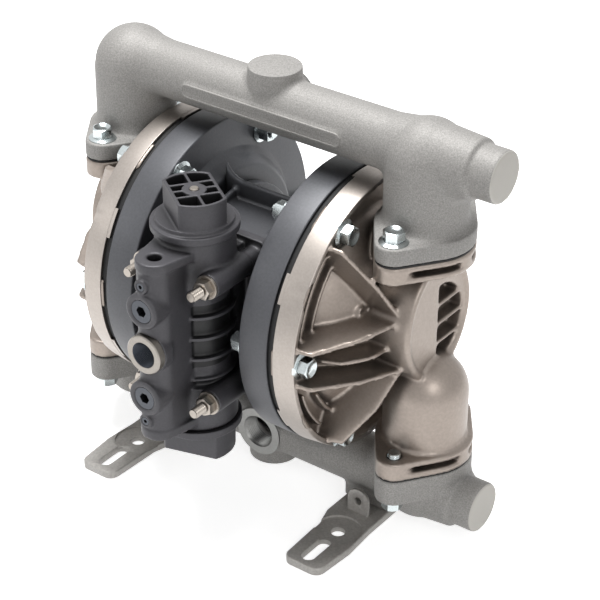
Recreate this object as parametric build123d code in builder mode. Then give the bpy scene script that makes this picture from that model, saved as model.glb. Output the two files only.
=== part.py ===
"""Air operated double diaphragm pump with threaded 3/4 inch ports.

Millimetres, +Z up. The origin is on the floor, at the middle of the foot pattern.
X runs along the diaphragm rod, the air valve stands at the front, towards -Y.
"""
import math
import os

from build123d import *

os.makedirs("parts", exist_ok=True)

# Layout: the chambers and the pipes set the heights
chamber_r = 110.0
pipe_r = 21.6
pipe_height = 38.5
pipe_clearance = 7.9
manifold_reach = chamber_r + pipe_r + pipe_clearance
lower_axis_z = pipe_height
rod_height = pipe_height + manifold_reach
upper_axis_z = rod_height + manifold_reach

# Fits
running_fit = 0.05
loose_fit = 0.3
bolt_hole_play = 0.35
print_gap = 0.1

# Diaphragm chambers, square to the rod
air_flange_inner_x = 50.0
air_flange_width = 25.0
air_flange_outer_x = air_flange_inner_x + air_flange_width
bead_thickness = 5.5
cover_face_x = air_flange_outer_x + bead_thickness
cover_rim_x = cover_face_x + 17.5
cover_rim_r = chamber_r - 1.6
cover_rim_land = 3.4
cover_rim_draft = 1.0
cover_web_x = cover_face_x + 6.5
head_spot_depth = 1.0
head_seat_x = cover_rim_x - head_spot_depth
head_boss_r = 12.5
tab_reach = 2.8
rim_tab_depth = 10.0
rim_tab_width = 22.0
chamber_bolt_count = 6
chamber_bolt_circle_r = chamber_r - 12.0
hub_x = air_flange_inner_x - 12.0
hub_r = chamber_r - 38.0
hub_foot_r = hub_r + 11.0
hub_wall = 6.0
air_bowl_r = chamber_r - 19.5
air_bowl_floor_r = air_bowl_r - 30.5

# Fluid cover
dome_foot_r = chamber_r - 29.0
dome_tip_x = cover_face_x + 38.5
dome_flat_r = 25.0
dome_middle = (dome_tip_x - 11.5, (dome_foot_r + dome_flat_r) / 2 + 4.0)
dome_wall = 5.5
rib_thickness = 3.4
rib_sink = 3.0
rib_base_x = cover_web_x - rib_sink
rib_foot_r = cover_rim_r - 2.4
rib_end_y = 34.0
rib_end_z = 21.0
conduit_depth = 31.0
conduit_x = dome_tip_x + conduit_depth
conduit_back_x = dome_tip_x - 3.0
rib_end_x = conduit_x - 9.0
rib_top_gap = 0.4
rib_step = 12.0
rib_rise = 31.5
middle_rib_root_y = dome_foot_r + 5.0
middle_rib_drop = 4.0
middle_rib_rises = ((0.0, 19.0), (0.12, 32.5), (0.5, 43.0), (1.0, 46.0))
arc_rib_half = 1.4
arc_rib_x = cover_web_x + 8.0
outer_arc_rib_r = cover_rim_r - 11.9
inner_arc_rib_r = dome_foot_r + 2.5
side_boss_r = 5.0
side_boss_y = rib_end_y + 10.4
side_boss_z = rib_end_z + 2.5
side_boss_drop = 6.4
conduit_half_width = 41.6
conduit_top_half_width = conduit_half_width - 33.1
conduit_low_half_width = conduit_half_width - 27.2
conduit_middle_rise = 9.5
conduit_round = 2.0
panel_rim = 4.0
panel_recess = 1.6

# Joints between covers and manifolds, as heights over and under the rod
upper_joint_rise = manifold_reach - 66.8
lower_joint_drop = manifold_reach - 32.5
upper_leg_x = conduit_x - 16.0
lower_leg_x = conduit_x - 9.0
upper_joint_z = rod_height + upper_joint_rise
lower_joint_z = rod_height - lower_joint_drop
joint_gasket = 1.0
gasket_inset = 0.8
flange_core_r = 37.0
flange_lug_r = 13.5
flange_bolt_y = flange_core_r + 3.6
upper_lug_height = 13.6
lower_lug_height = 21.5
cover_upper_flange = 14.4
cover_lower_flange = 14.7
slot_height = 4.8
slot_depth = 9.0
slot_bridge = 12.0

# Panel, pocket and ducts of the fluid cover
conduit_drop = 38.0
conduit_rise = upper_joint_rise - 12.7
pocket_r = conduit_half_width - 8.6
pocket_lift = 3.5
pocket_depth = 14.0
pocket_offset = 0.8
pocket_bar = 2.6
pocket_bar_pitch = pocket_r / 2 - 0.25
duct_back_x = dome_tip_x + 0.5
duct_front_x = conduit_x - pocket_depth - 3.0
duct_half_width = 17.0
duct_round = 6.0
neck_x = duct_back_x + 4.0
neck_top_r = duct_half_width + 9.4
neck_low_r = duct_half_width + 4.0
neck_height = 12.0
duct_top = upper_joint_rise - 7.7
duct_bottom = 5.0 - conduit_drop
port_duct_r = 17.0
port_duct_depth = 10.5
side_duct_x = duct_back_x + 7.5
side_duct_r = 13.0
side_duct_bottom = 35.0 - lower_joint_drop
side_duct_length = 52.0
passage_r = 15.0
cover_leg_r = flange_core_r - 5.0
lower_dome_z = lower_joint_z + 53.0

# Manifolds
pipe_bore_r = pipe_r - 6.1
leg_r = flange_core_r - 6.0
elbow_r = leg_r - 0.5
elbow_rise = pipe_r + 4.0
elbow_run = 30.0
elbow_drop = elbow_r - elbow_rise - 0.6
pipe_end_r = pipe_r + 1.0
stub_r = pipe_r - 2.0
stub_x = conduit_x + 46.0
stub_length = 19.5
stub_chamfer = 0.8
boss_r = 20.0
boss_reach = pipe_r + 8.4
port_bore_r = 12.1
port_ring_r = port_bore_r + 8.5
port_face_y = pipe_r + 0.4
port_depth = 16.0
port_chamfer = 1.8
port_core_half = 22.0
cross_bore_r = 10.5
cross_bore_shift = 4.2
spot_face_depth = 14.0
pad_half_height = 5.7
pad_lift = -0.9
pad_left_x = 64.0 - upper_leg_x
pad_right_x = upper_leg_x - 60.0
pad_stand = 1.2

# Check valves
ball_r = 16.0
seat_bore_r = ball_r - 3.5
seat_r = 22.0
seat_height = 8.0
cage_r = seat_r - 2.0
cage_stop_r = ball_r - 1.5
cage_top = 18.0
ball_lift = 10.0
ring_r = seat_r - 1.4
ring_section_r = 1.3

# Rod and disks
rod_r = 10.0
rod_stroke = 12.0
stud_r = rod_r - 4.0
diaphragm_thickness = 4.0
diaphragm_outer_r = chamber_r - 2.6
diaphragm_bead_r = air_bowl_r + 0.5
convolution_depth = 9.0
convolution_gap = 4.0
disk_r = diaphragm_bead_r - 45.0
outer_disk_r = disk_r - 3.0
inner_disk_thickness = 8.5
outer_disk_thickness = 8.0
outer_hub_r = 14.0
bush_r = rod_r + 4.0
bush_length = 16.0
bush_outer_x = hub_x - 3.0
seal_r = bush_r + 2.0
seal_width = 5.0
seal_start_x = bush_outer_x + 1.5

# Pilot pin
pilot_r = 4.0
pilot_drop = seal_r + pilot_r + 4.0
pilot_travel = 3.0

# Centre block
spigot_r = pilot_drop + pilot_r + 1.7
wall_front_y = -12.0
wall_thickness = 4.0
wall_back_y = wall_front_y + wall_thickness
wall_top = hub_r + 1.0
wall_end_top = hub_r + 12.0
wall_sweep = 18.0
wall_bottom = hub_r + 4.0
block_flange = 10.0
stud_bite = 14.0
stud_hole_play = 2.0
barrel_r = spigot_r + 4.3
pad_front_y = wall_front_y - 40.0
pad_half_width = hub_x - 2.0
pad_half_rise = hub_r - 14.0
web_thickness = 4.0
exhaust_r = 21.0
exhaust_face_y = barrel_r + 14.0
exhaust_bore_r = 12.1
exhaust_depth = 20.0

# Air valve
valve_gasket = 2.0
valve_back_y = pad_front_y - valve_gasket
valve_flange_thickness = 8.0
valve_flange_half_width = pad_half_width + 1.6
valve_flange_half_rise = pad_half_rise + 4.0
spool_y = valve_back_y - 40.5
sleeve_r = 20.0
sleeve_bore_r = 12.0
cap_spigot_r = sleeve_r + 3.6
valve_head_r = cap_spigot_r + 5.9
valve_waist_r = sleeve_r + 1.5
air_bore_r = 9.3
air_passage_r = air_bore_r - 1.3
bush_body_r = air_bore_r + 3.2
bush_flange_r = air_bore_r + 6.0
bush_flange = 6.0
bush_body_length = 14.0
plug_r = 8.8
plug_boss_r = plug_r + 5.0
plug_length = 10.0
plug_recess = 0.6
plug_socket_r = plug_r / 2
plug_rise = bush_flange_r + plug_boss_r + 7.4
pilot_screw_r = 3.2
pilot_boss_r = pilot_screw_r + 2.4
pilot_screw_rise = plug_rise + plug_boss_r + pilot_boss_r + 0.6
column_r = plug_boss_r - 0.4
column_y = spool_y - 45.0
plug_face_y = column_y - 17.0
bush_face_y = column_y - 16.1
lug_r = column_r + 0.8
lug_top = pilot_screw_rise + 17.0
lug_thickness = 7.5
lug_hole_r = 5.2
lug_hole_depth = 16.0
valve_end = lug_top + 5.5
valve_shoulder = valve_end - 37.0
fin_r = valve_head_r - 1.0
fin_thickness = 2.6
fin_pitch = (valve_shoulder - 7.0) / 2
valve_stud_r = 4.0
stud_boss_r = valve_stud_r + 5.6
stud_root_r = stud_boss_r - 1.1
stud_x = valve_flange_half_width - stud_root_r - 0.1
stud_rise = pad_half_rise - 9.0
stud_root_y = valve_back_y - 22.0
stud_face_y = stud_root_y - 41.0
valve_stud_end_y = stud_face_y - 19.5
washer_r = stud_boss_r - 0.4
washer_thickness = 2.0
valve_nut_flats = 13.0
valve_nut_height = 6.5
air_port_r = 7.0
air_port_rise = 22.0

# Valve caps
brim_r = valve_head_r + 3.0
brim_thickness = 6.0
cap_step_r = brim_r - 3.7
cap_step = 3.0
cap_grip_r = cap_step_r - 1.5
cap_grip_flat = cap_grip_r - 9.5
cap_end = valve_end + 29.5
cap_grip_wall = 2.4
cap_pocket_depth = 12.0
cap_rib = 2.2
cap_rib_pitch = cap_grip_r - cap_grip_flat
cap_ring_r = 9.0
cap_spigot_end = valve_end - 19.0
cap_seal_section_r = 1.6
upper_grip_turn = 55.0
lower_grip_turn = -74.0
spring_r = 6.0
spring_wire_r = 0.6
spring_turns = 6
spring_low = cap_spigot_end + 3.0
spring_high = valve_end - 1.0
reset_pin_r = spring_r - 2.6
reset_travel = 3.0
reset_collar = 2.0

# Sleeve and spool
sleeve_half = cap_spigot_end - 2.0
spool_travel = 8.0
spool_half = sleeve_half - spool_travel - 4.0
spool_neck_r = sleeve_bore_r - 5.0
spool_land_half = 7.0
spool_land_rise = spool_half - 33.0

# Hex flange bolts and nuts
bolt_r = 5.0
bolt_flats = 14.0
bolt_flange_r = 10.8
bolt_flange = 2.2
bolt_head = 9.5
bolt_dish_r = 5.0
bolt_dish = 1.2
bolt_tip = 2.5
nut_height = 10.5

# Feet
foot_x = lower_leg_x - 40.5
foot_thickness = 6.0
foot_half_length = 103.0
foot_hole_y = foot_half_length - 50.5
foot_hole_r = 5.6
foot_seat_r = 18.5
foot_seat_depth = 1.8
foot_outline = (
    (foot_x - 22.0, foot_hole_y - 16.5),
    (foot_x - 17.5, foot_hole_y - 0.5),
    (foot_x - 15.5, foot_half_length),
    (foot_x + 17.5, foot_half_length),
    (foot_x + 20.5, foot_hole_y + 13.5),
    (foot_x + 18.5, foot_hole_y - 14.5),
)
foot_corner = 8.0
foot_slot_x = foot_x + 0.5
foot_slot_y = foot_half_length - 21.5
foot_slot_length = 31.0
foot_slot_width = 11.2
pedestal_x = foot_x - 3.5
pedestal_half_width = 19.5
pedestal_half_length = 12.0
tab_x = foot_x - 0.5
tab_half_width = 9.5
tab_thickness = 2.6
tab_front_y = -port_face_y - tab_thickness - 1.4
tab_hole_z = 17.0
tab_hole_r = 3.4
tab_top_z = tab_hole_z + tab_half_width + 1.0
foot_screw_r = 4.0
foot_screw_head_r = 6.6
foot_screw_head = 3.4
foot_screw_bite = 10.0
foot_screw_spread = 11.0

# Chamber screws inside the air bowls
chamber_screw_circle_r = air_bowl_floor_r - 7.0
chamber_screw_r = 3.0
chamber_screw_head_r = 5.0
chamber_screw_head = 5.5
chamber_screw_depth = 8.0

rod_axis = Axis((0, 0, rod_height), (1, 0, 0))
sides = {"right": 1, "left": -1}


def across(x):
    """Plane square to the rod at x, its own x along Y and its own y up."""
    return Plane(origin=(x, 0, rod_height), x_dir=(0, 1, 0), z_dir=(1, 0, 0))


def front(y, z=rod_height):
    """Plane at y that looks to the front, its own x along X and its own y up."""
    return Plane(origin=(0, y, z), x_dir=(1, 0, 0), z_dir=(0, -1, 0))


def level(z, x=0.0, y=0.0):
    """Level plane at height z, looking up."""
    return Plane(origin=(x, y, z), x_dir=(1, 0, 0), z_dir=(0, 0, 1))


def circle_points(radius, count, start=0.0):
    """Points on a circle, evenly spaced, from the start angle in degrees."""
    step = 360.0 / count
    turns = [math.radians(start + step * index) for index in range(count)]
    return [(radius * math.cos(turn), radius * math.sin(turn)) for turn in turns]


def finish(piece, name):
    """Label a finished piece and write it to its own file."""
    piece.part.label = name
    export_step(piece.part, f"parts/{name}.step")


def finish_pair(right_piece, name):
    """Write the right piece and its mirror image on the left."""
    finish(right_piece, f"{name}_right")
    with BuildPart() as left_piece:
        mirror(right_piece.part, about=Plane.YZ)
    finish(left_piece, f"{name}_left")


bolt_points = circle_points(chamber_bolt_circle_r, chamber_bolt_count)
bolt_clear_r = bolt_r + bolt_hole_play
lug_points = [(0.0, flange_bolt_y), (0.0, -flange_bolt_y)]

# Air chambers
bowl_floor_x = hub_x + hub_wall
with BuildPart() as air_chamber:
    with BuildSketch(front(0)):
        with BuildLine():
            Polyline(
                (hub_x, spigot_r + loose_fit),
                (hub_x, hub_r),
                (air_flange_inner_x, hub_foot_r),
                (air_flange_inner_x, chamber_r),
                (air_flange_outer_x, chamber_r),
                (air_flange_outer_x, air_bowl_r),
                (bowl_floor_x, air_bowl_floor_r),
                (bowl_floor_x, spigot_r + loose_fit),
                close=True,
            )
        make_face()
    revolve(axis=rod_axis)
    fillet(air_chamber.edges().filter_by(GeomType.CIRCLE).filter_by(
        lambda edge: abs(edge.radius - chamber_r) < 0.01), 1.2)
    fillet(air_chamber.edges().filter_by(GeomType.CIRCLE).filter_by(
        lambda edge: abs(edge.radius - hub_r) < 0.01), 4.0)
    with BuildSketch(across(air_flange_inner_x)):
        with Locations(*bolt_points):
            Circle(bolt_clear_r)
    extrude(amount=air_flange_outer_x - air_flange_inner_x, mode=Mode.SUBTRACT)
    with BuildSketch(across(hub_x)):
        with Locations(*circle_points(chamber_screw_circle_r, 4, 45)):
            Circle(chamber_screw_r + print_gap)
    extrude(amount=hub_wall, mode=Mode.SUBTRACT)
finish_pair(air_chamber, "air_chamber")

# Screws that hold the air chambers on the centre block
with BuildPart() as chamber_screws:
    with BuildSketch(across(bowl_floor_x)):
        with Locations(*circle_points(chamber_screw_circle_r, 4, 45)):
            Circle(chamber_screw_head_r)
    extrude(amount=chamber_screw_head)
    with BuildSketch(across(bowl_floor_x + chamber_screw_head)):
        with Locations(*circle_points(chamber_screw_circle_r, 4, 45)):
            RegularPolygon(chamber_screw_r, 6)
    extrude(amount=-0.6 * chamber_screw_head, mode=Mode.SUBTRACT)
    with BuildSketch(across(bowl_floor_x)):
        with Locations(*circle_points(chamber_screw_circle_r, 4, 45)):
            Circle(chamber_screw_r)
    extrude(amount=-hub_wall - chamber_screw_depth)
finish_pair(chamber_screws, "chamber_screws")

# Diaphragms: a flat middle, one convolution towards the air side and a clamped rim
diaphragm_x = air_flange_outer_x + bead_thickness / 2
web_front_x = diaphragm_x + diaphragm_thickness / 2
web_back_x = diaphragm_x - diaphragm_thickness / 2
convolution_inner_r = disk_r + convolution_gap
convolution_r = (convolution_inner_r + diaphragm_bead_r) / 2
with BuildPart() as diaphragm:
    with BuildSketch(front(0)):
        with BuildLine():
            Polyline(
                (web_back_x, stud_r + loose_fit),
                (web_front_x, stud_r + loose_fit),
                (web_front_x, convolution_inner_r),
            )
            ThreePointArc(
                (web_front_x, convolution_inner_r),
                (web_front_x - convolution_depth, convolution_r),
                (web_front_x, diaphragm_bead_r - 2),
            )
            Polyline(
                (web_front_x, diaphragm_bead_r - 2),
                (cover_face_x, diaphragm_bead_r),
                (cover_face_x, diaphragm_outer_r),
                (air_flange_outer_x, diaphragm_outer_r),
                (air_flange_outer_x, diaphragm_bead_r),
                (web_back_x, diaphragm_bead_r - 2),
            )
            ThreePointArc(
                (web_back_x, diaphragm_bead_r - 2),
                (web_back_x - convolution_depth, convolution_r),
                (web_back_x, convolution_inner_r),
            )
            Line((web_back_x, convolution_inner_r), (web_back_x, stud_r + loose_fit))
        make_face()
    revolve(axis=rod_axis)
    with BuildSketch(across(air_flange_outer_x)):
        with Locations(*bolt_points):
            Circle(bolt_clear_r)
    extrude(amount=bead_thickness, mode=Mode.SUBTRACT)
finish_pair(diaphragm, "diaphragm")

# Centre rod with a threaded stud at each end
inner_disk_front_x = web_back_x - loose_fit
inner_disk_back_x = inner_disk_front_x - inner_disk_thickness
outer_disk_back_x = web_front_x + loose_fit
outer_disk_front_x = outer_disk_back_x + outer_disk_thickness
stud_end_x = outer_disk_front_x + 3.0
with BuildPart() as center_rod:
    with BuildSketch(across(-inner_disk_back_x)):
        Circle(rod_r)
    extrude(amount=2 * inner_disk_back_x)
    with BuildSketch(across(-stud_end_x)):
        Circle(stud_r)
    extrude(amount=2 * stud_end_x)
    chamfer(center_rod.faces().sort_by(Axis.X)[-1].edges(), 0.8)
    chamfer(center_rod.faces().sort_by(Axis.X)[0].edges(), 0.8)
finish(center_rod, "center_rod")

# Disks that clamp each diaphragm
with BuildPart() as inner_disk:
    with BuildSketch(across(inner_disk_back_x)):
        Circle(disk_r)
        Circle(stud_r + print_gap, mode=Mode.SUBTRACT)
    extrude(amount=inner_disk_thickness)
    fillet(inner_disk.edges().filter_by(GeomType.CIRCLE).filter_by(
        lambda edge: edge.radius > 20), 3.0)
finish_pair(inner_disk, "inner_disk")

outer_hub_x = stud_end_x + 4.0
with BuildPart() as outer_disk:
    with BuildSketch(front(0)):
        with BuildLine():
            Polyline(
                (outer_disk_back_x, stud_r + print_gap),
                (outer_disk_back_x, outer_disk_r),
                (outer_disk_back_x + 3.0, outer_disk_r),
                (outer_disk_front_x, outer_hub_r + 6.0),
                (outer_hub_x, outer_hub_r),
                (outer_hub_x, 0.0),
                (stud_end_x + print_gap, 0.0),
                (stud_end_x + print_gap, stud_r + print_gap),
                close=True,
            )
        make_face()
    revolve(axis=rod_axis)
    fillet(outer_disk.edges().filter_by(GeomType.CIRCLE).filter_by(
        lambda edge: edge.radius > outer_hub_r - 1), 1.2)
finish_pair(outer_disk, "outer_disk")

# Throat bushes and rod seals
with BuildPart() as rod_bush:
    with BuildSketch(across(bush_outer_x - bush_length)):
        Circle(bush_r)
        Circle(rod_r + running_fit, mode=Mode.SUBTRACT)
    extrude(amount=bush_length)
finish_pair(rod_bush, "rod_bush")

with BuildPart() as rod_seal:
    with BuildSketch(across(seal_start_x)):
        Circle(seal_r)
        Circle(rod_r + running_fit, mode=Mode.SUBTRACT)
    extrude(amount=seal_width)
    with BuildSketch(across(seal_start_x + seal_width)):
        Circle(seal_r - 1.8)
        Circle(rod_r + 1.8, mode=Mode.SUBTRACT)
    extrude(amount=-0.6 * seal_width, mode=Mode.SUBTRACT)
finish_pair(rod_seal, "rod_seal")

# Pilot pin, pushed to and fro by the inner disks at the ends of the stroke
pilot_half = inner_disk_back_x - rod_stroke - loose_fit
with BuildPart() as pilot_pin:
    with BuildSketch(across(-pilot_half)):
        with Locations((0, -pilot_drop)):
            Circle(pilot_r)
    extrude(amount=2 * pilot_half)
    chamfer(pilot_pin.faces().sort_by(Axis.X)[-1].edges(), 0.6)
    chamfer(pilot_pin.faces().sort_by(Axis.X)[0].edges(), 0.6)
finish(pilot_pin, "pilot_pin")

# Centre block
with BuildPart() as center_block:
    with BuildSketch(across(-hub_x)):
        Circle(barrel_r)
    extrude(amount=2 * hub_x)
    with BuildSketch(front(wall_back_y)):
        with BuildLine():
            Polyline(
                (-hub_x, wall_end_top),
                (-hub_x, -wall_bottom),
                (hub_x, -wall_bottom),
                (hub_x, wall_end_top),
            )
            ThreePointArc((hub_x, wall_end_top), (hub_x - 0.4 * wall_sweep, wall_top + 2.5),
                          (hub_x - wall_sweep, wall_top))
            Line((hub_x - wall_sweep, wall_top), (wall_sweep - hub_x, wall_top))
            ThreePointArc((wall_sweep - hub_x, wall_top), (0.4 * wall_sweep - hub_x, wall_top + 2.5),
                          (-hub_x, wall_end_top))
        make_face()
    extrude(amount=wall_thickness)
    for start_x in (-hub_x, hub_x - block_flange):
        with BuildSketch(across(start_x)):
            Circle(chamber_screw_circle_r + 7.0)
            with Locations((pad_front_y + chamber_r, 0)):
                Rectangle(2 * chamber_r, 2 * chamber_r, mode=Mode.INTERSECT)
        extrude(amount=block_flange)
    with BuildSketch(front(wall_front_y)):
        with Locations((-stud_x, -stud_rise), (-stud_x, stud_rise),
                       (stud_x, -stud_rise), (stud_x, stud_rise)):
            Circle(stud_root_r)
    extrude(amount=-stud_bite)
    with BuildSketch(front(wall_front_y)):
        Rectangle(2 * pad_half_width, 2 * pad_half_rise)
    extrude(amount=wall_front_y - pad_front_y)
    fillet(center_block.edges().filter_by(Axis.Y).group_by(Axis.Y)[0], 5.0)
    with BuildSketch(front(0)):
        Circle(exhaust_r)
    extrude(amount=-exhaust_face_y)
    with BuildSketch(across(-bowl_floor_x)):
        Circle(spigot_r)
    extrude(amount=2 * bowl_floor_x)
    for web_x in (8 - pad_half_width, pad_half_width - 8):
        with BuildSketch(Plane(origin=(web_x, 0, rod_height), x_dir=(0, 1, 0), z_dir=(1, 0, 0))):
            with BuildLine():
                Polyline(
                    (wall_front_y, pad_half_rise),
                    (pad_front_y + 6, pad_half_rise),
                    (wall_front_y, wall_top - 6),
                    close=True,
                )
            make_face()
        extrude(amount=web_thickness / 2, both=True)
    with BuildSketch(across(-bowl_floor_x)):
        Circle(rod_r + 0.6)
    extrude(amount=2 * bowl_floor_x, mode=Mode.SUBTRACT)
    with BuildSketch(across(-bush_outer_x)):
        Circle(bush_r)
    extrude(amount=2 * bush_outer_x, mode=Mode.SUBTRACT)
    for side in sides.values():
        with BuildSketch(across(side * seal_start_x)):
            Circle(seal_r)
        extrude(amount=side * seal_width, mode=Mode.SUBTRACT)
        with BuildSketch(across(side * hub_x)):
            with Locations(*circle_points(chamber_screw_circle_r, 4, 45)):
                Circle(chamber_screw_r + print_gap)
        extrude(amount=-side * (chamber_screw_depth + 1), mode=Mode.SUBTRACT)
    with BuildSketch(across(-bowl_floor_x)):
        with Locations((0, -pilot_drop)):
            Circle(pilot_r + running_fit)
    extrude(amount=2 * bowl_floor_x, mode=Mode.SUBTRACT)
    with BuildSketch(front(exhaust_face_y)):
        Circle(exhaust_bore_r)
    extrude(amount=exhaust_depth, mode=Mode.SUBTRACT)
    with BuildSketch(front(pad_front_y)):
        with Locations((-stud_x, -stud_rise), (-stud_x, stud_rise),
                       (stud_x, -stud_rise), (stud_x, stud_rise)):
            Circle(valve_stud_r + print_gap)
    extrude(amount=pad_front_y - wall_front_y - stud_bite + stud_hole_play, mode=Mode.SUBTRACT)
finish(center_block, "center_block")

# Valve gasket between the valve body and the centre block
stud_points = [(x, z) for x in (-stud_x, stud_x) for z in (-stud_rise, stud_rise)]
with BuildPart() as valve_gasket_sheet:
    with BuildSketch(front(pad_front_y)):
        RectangleRounded(2 * pad_half_width, 2 * pad_half_rise, 5.0)
        with Locations(*stud_points):
            Circle(valve_stud_r + print_gap, mode=Mode.SUBTRACT)
        with Locations((0, -air_port_rise), (0, 0), (0, air_port_rise)):
            Circle(air_port_r, mode=Mode.SUBTRACT)
    extrude(amount=valve_gasket)
finish(valve_gasket_sheet, "valve_gasket")

# Air valve body
plug_points = [(0, -plug_rise), (0, plug_rise)]
pilot_screw_points = [(0, -pilot_screw_rise), (0, pilot_screw_rise)]
with BuildPart() as valve_body:
    with BuildSketch(level(rod_height - valve_end, y=spool_y)):
        Circle(valve_head_r)
    extrude(amount=valve_end - valve_shoulder)
    with BuildSketch(level(rod_height + valve_shoulder, y=spool_y)):
        Circle(valve_head_r)
    extrude(amount=valve_end - valve_shoulder)
    with BuildSketch(level(rod_height - valve_shoulder, y=spool_y)):
        Circle(valve_waist_r)
    extrude(amount=2 * valve_shoulder)
    for step in (-2, -1, 0, 1, 2):
        with BuildSketch(level(rod_height + step * fin_pitch - fin_thickness / 2, y=spool_y)):
            Circle(fin_r)
        extrude(amount=fin_thickness)
    with BuildSketch(level(rod_height - lug_top)):
        with Locations((0, column_y)):
            Circle(column_r)
        with Locations((0, (column_y + spool_y) / 2)):
            Rectangle(2 * column_r, spool_y - column_y)
    extrude(amount=2 * lug_top)
    for low_z in (rod_height + lug_top - lug_thickness, rod_height - lug_top):
        with BuildSketch(level(low_z)):
            with Locations((0, column_y)):
                Circle(lug_r)
            with Locations((0, spool_y - 6)):
                Circle(valve_waist_r)
            make_hull()
        extrude(amount=lug_thickness)
    with BuildSketch(front(column_y)):
        with Locations(*plug_points):
            Circle(plug_boss_r)
        with Locations(*pilot_screw_points):
            Circle(pilot_boss_r)
        Circle(bush_flange_r + 0.6)
    extrude(amount=column_y - bush_face_y - bush_flange)
    with BuildSketch(front(column_y)):
        with Locations(*plug_points):
            Circle(plug_boss_r)
        with Locations(*pilot_screw_points):
            Circle(pilot_boss_r)
    extrude(amount=column_y - plug_face_y)
    with BuildSketch(front(valve_back_y)):
        RectangleRounded(2 * valve_flange_half_width, 2 * valve_flange_half_rise, 5.0)
    extrude(amount=valve_flange_thickness)
    with BuildSketch(front(valve_back_y)):
        Rectangle(2 * (valve_waist_r - 2), 2 * (valve_flange_half_rise - 4))
    extrude(amount=valve_back_y - spool_y)
    with BuildSketch(front(valve_back_y)):
        with Locations(*stud_points):
            Circle(stud_root_r)
    extrude(amount=valve_back_y - stud_root_y)
    with BuildSketch(front(stud_root_y)):
        with Locations(*stud_points):
            Circle(stud_boss_r)
    extrude(amount=stud_root_y - stud_face_y)
    with BuildSketch(level(rod_height - valve_end, y=spool_y)):
        Circle(cap_spigot_r + 0.2)
    extrude(amount=2 * valve_end, mode=Mode.SUBTRACT)
    with BuildSketch(level(rod_height - sleeve_half, y=spool_y)):
        Circle(cap_spigot_r + 0.5)
        Circle(sleeve_r, mode=Mode.SUBTRACT)
    extrude(amount=2 * sleeve_half)
    with BuildSketch(front(plug_face_y)):
        with Locations(*stud_points):
            Circle(valve_stud_r + print_gap)
    extrude(amount=plug_face_y - valve_back_y, mode=Mode.SUBTRACT)
    with BuildSketch(front(plug_face_y)):
        with Locations(*plug_points):
            Circle(plug_r + print_gap)
    extrude(amount=-plug_length - plug_recess, mode=Mode.SUBTRACT)
    with BuildSketch(front(plug_face_y)):
        with Locations(*pilot_screw_points):
            Circle(pilot_screw_r + print_gap)
    extrude(amount=-plug_length - plug_recess, mode=Mode.SUBTRACT)
    with BuildSketch(front(bush_face_y + bush_flange)):
        Circle(bush_body_r + print_gap)
    extrude(amount=-bush_body_length, mode=Mode.SUBTRACT)
    with BuildSketch(front(bush_face_y + bush_flange)):
        Circle(bush_flange_r + print_gap)
    extrude(amount=bush_flange, mode=Mode.SUBTRACT)
    with BuildSketch(front(bush_face_y)):
        Circle(air_passage_r)
    extrude(amount=bush_face_y - spool_y + sleeve_bore_r, mode=Mode.SUBTRACT)
    with BuildSketch(level(rod_height + lug_top)):
        with Locations((0, column_y)):
            Circle(lug_hole_r)
    extrude(amount=-lug_hole_depth, mode=Mode.SUBTRACT)
    with BuildSketch(front(valve_back_y)):
        with Locations((0, -air_port_rise), (0, 0), (0, air_port_rise)):
            Circle(air_port_r - 1)
    extrude(amount=valve_back_y - spool_y, mode=Mode.SUBTRACT)
    with BuildSketch(level(rod_height - sleeve_half, y=spool_y)):
        Circle(sleeve_r)
    extrude(amount=2 * sleeve_half, mode=Mode.SUBTRACT)
finish(valve_body, "valve_body")

# Metal bush of the air inlet
with BuildPart() as air_inlet_bush:
    with BuildSketch(front(bush_face_y)):
        Circle(bush_flange_r)
        Circle(air_bore_r, mode=Mode.SUBTRACT)
    extrude(amount=-bush_flange)
    with BuildSketch(front(bush_face_y + bush_flange)):
        Circle(bush_body_r)
        Circle(air_bore_r, mode=Mode.SUBTRACT)
    extrude(amount=-bush_body_length)
    chamfer(air_inlet_bush.faces().sort_by(Axis.Y)[0].edges(), 1.0)
finish(air_inlet_bush, "air_inlet_bush")

# Socket plugs and pilot screws in the front column
with BuildPart() as port_plugs:
    with BuildSketch(front(plug_face_y + plug_recess)):
        with Locations(*plug_points):
            Circle(plug_r)
    extrude(amount=-plug_length)
    with BuildSketch(front(plug_face_y + plug_recess)):
        with Locations(*plug_points):
            RegularPolygon(plug_socket_r, 6)
    extrude(amount=-0.6 * plug_length, mode=Mode.SUBTRACT)
finish(port_plugs, "port_plugs")

with BuildPart() as pilot_screws:
    with BuildSketch(front(plug_face_y + plug_recess)):
        with Locations(*pilot_screw_points):
            Circle(pilot_screw_r)
    extrude(amount=-plug_length)
    with BuildSketch(front(plug_face_y + plug_recess)):
        with Locations(*pilot_screw_points):
            RegularPolygon(0.5 * pilot_screw_r, 6)
    extrude(amount=-0.3 * plug_length, mode=Mode.SUBTRACT)
finish(pilot_screws, "pilot_screws")

# Studs, washers and nuts that hold the valve
with BuildPart() as valve_studs:
    with BuildSketch(front(valve_stud_end_y)):
        with Locations(*stud_points):
            Circle(valve_stud_r)
    extrude(amount=valve_stud_end_y - wall_front_y - stud_bite + 2 * stud_hole_play)
    chamfer(valve_studs.faces().filter_by(Axis.Y).group_by(Axis.Y)[0].edges(), 0.6)
finish(valve_studs, "valve_studs")

with BuildPart() as valve_washers:
    with BuildSketch(front(stud_face_y)):
        with Locations(*stud_points):
            Circle(washer_r)
            Circle(valve_stud_r + print_gap, mode=Mode.SUBTRACT)
    extrude(amount=washer_thickness)
finish(valve_washers, "valve_washers")

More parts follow.
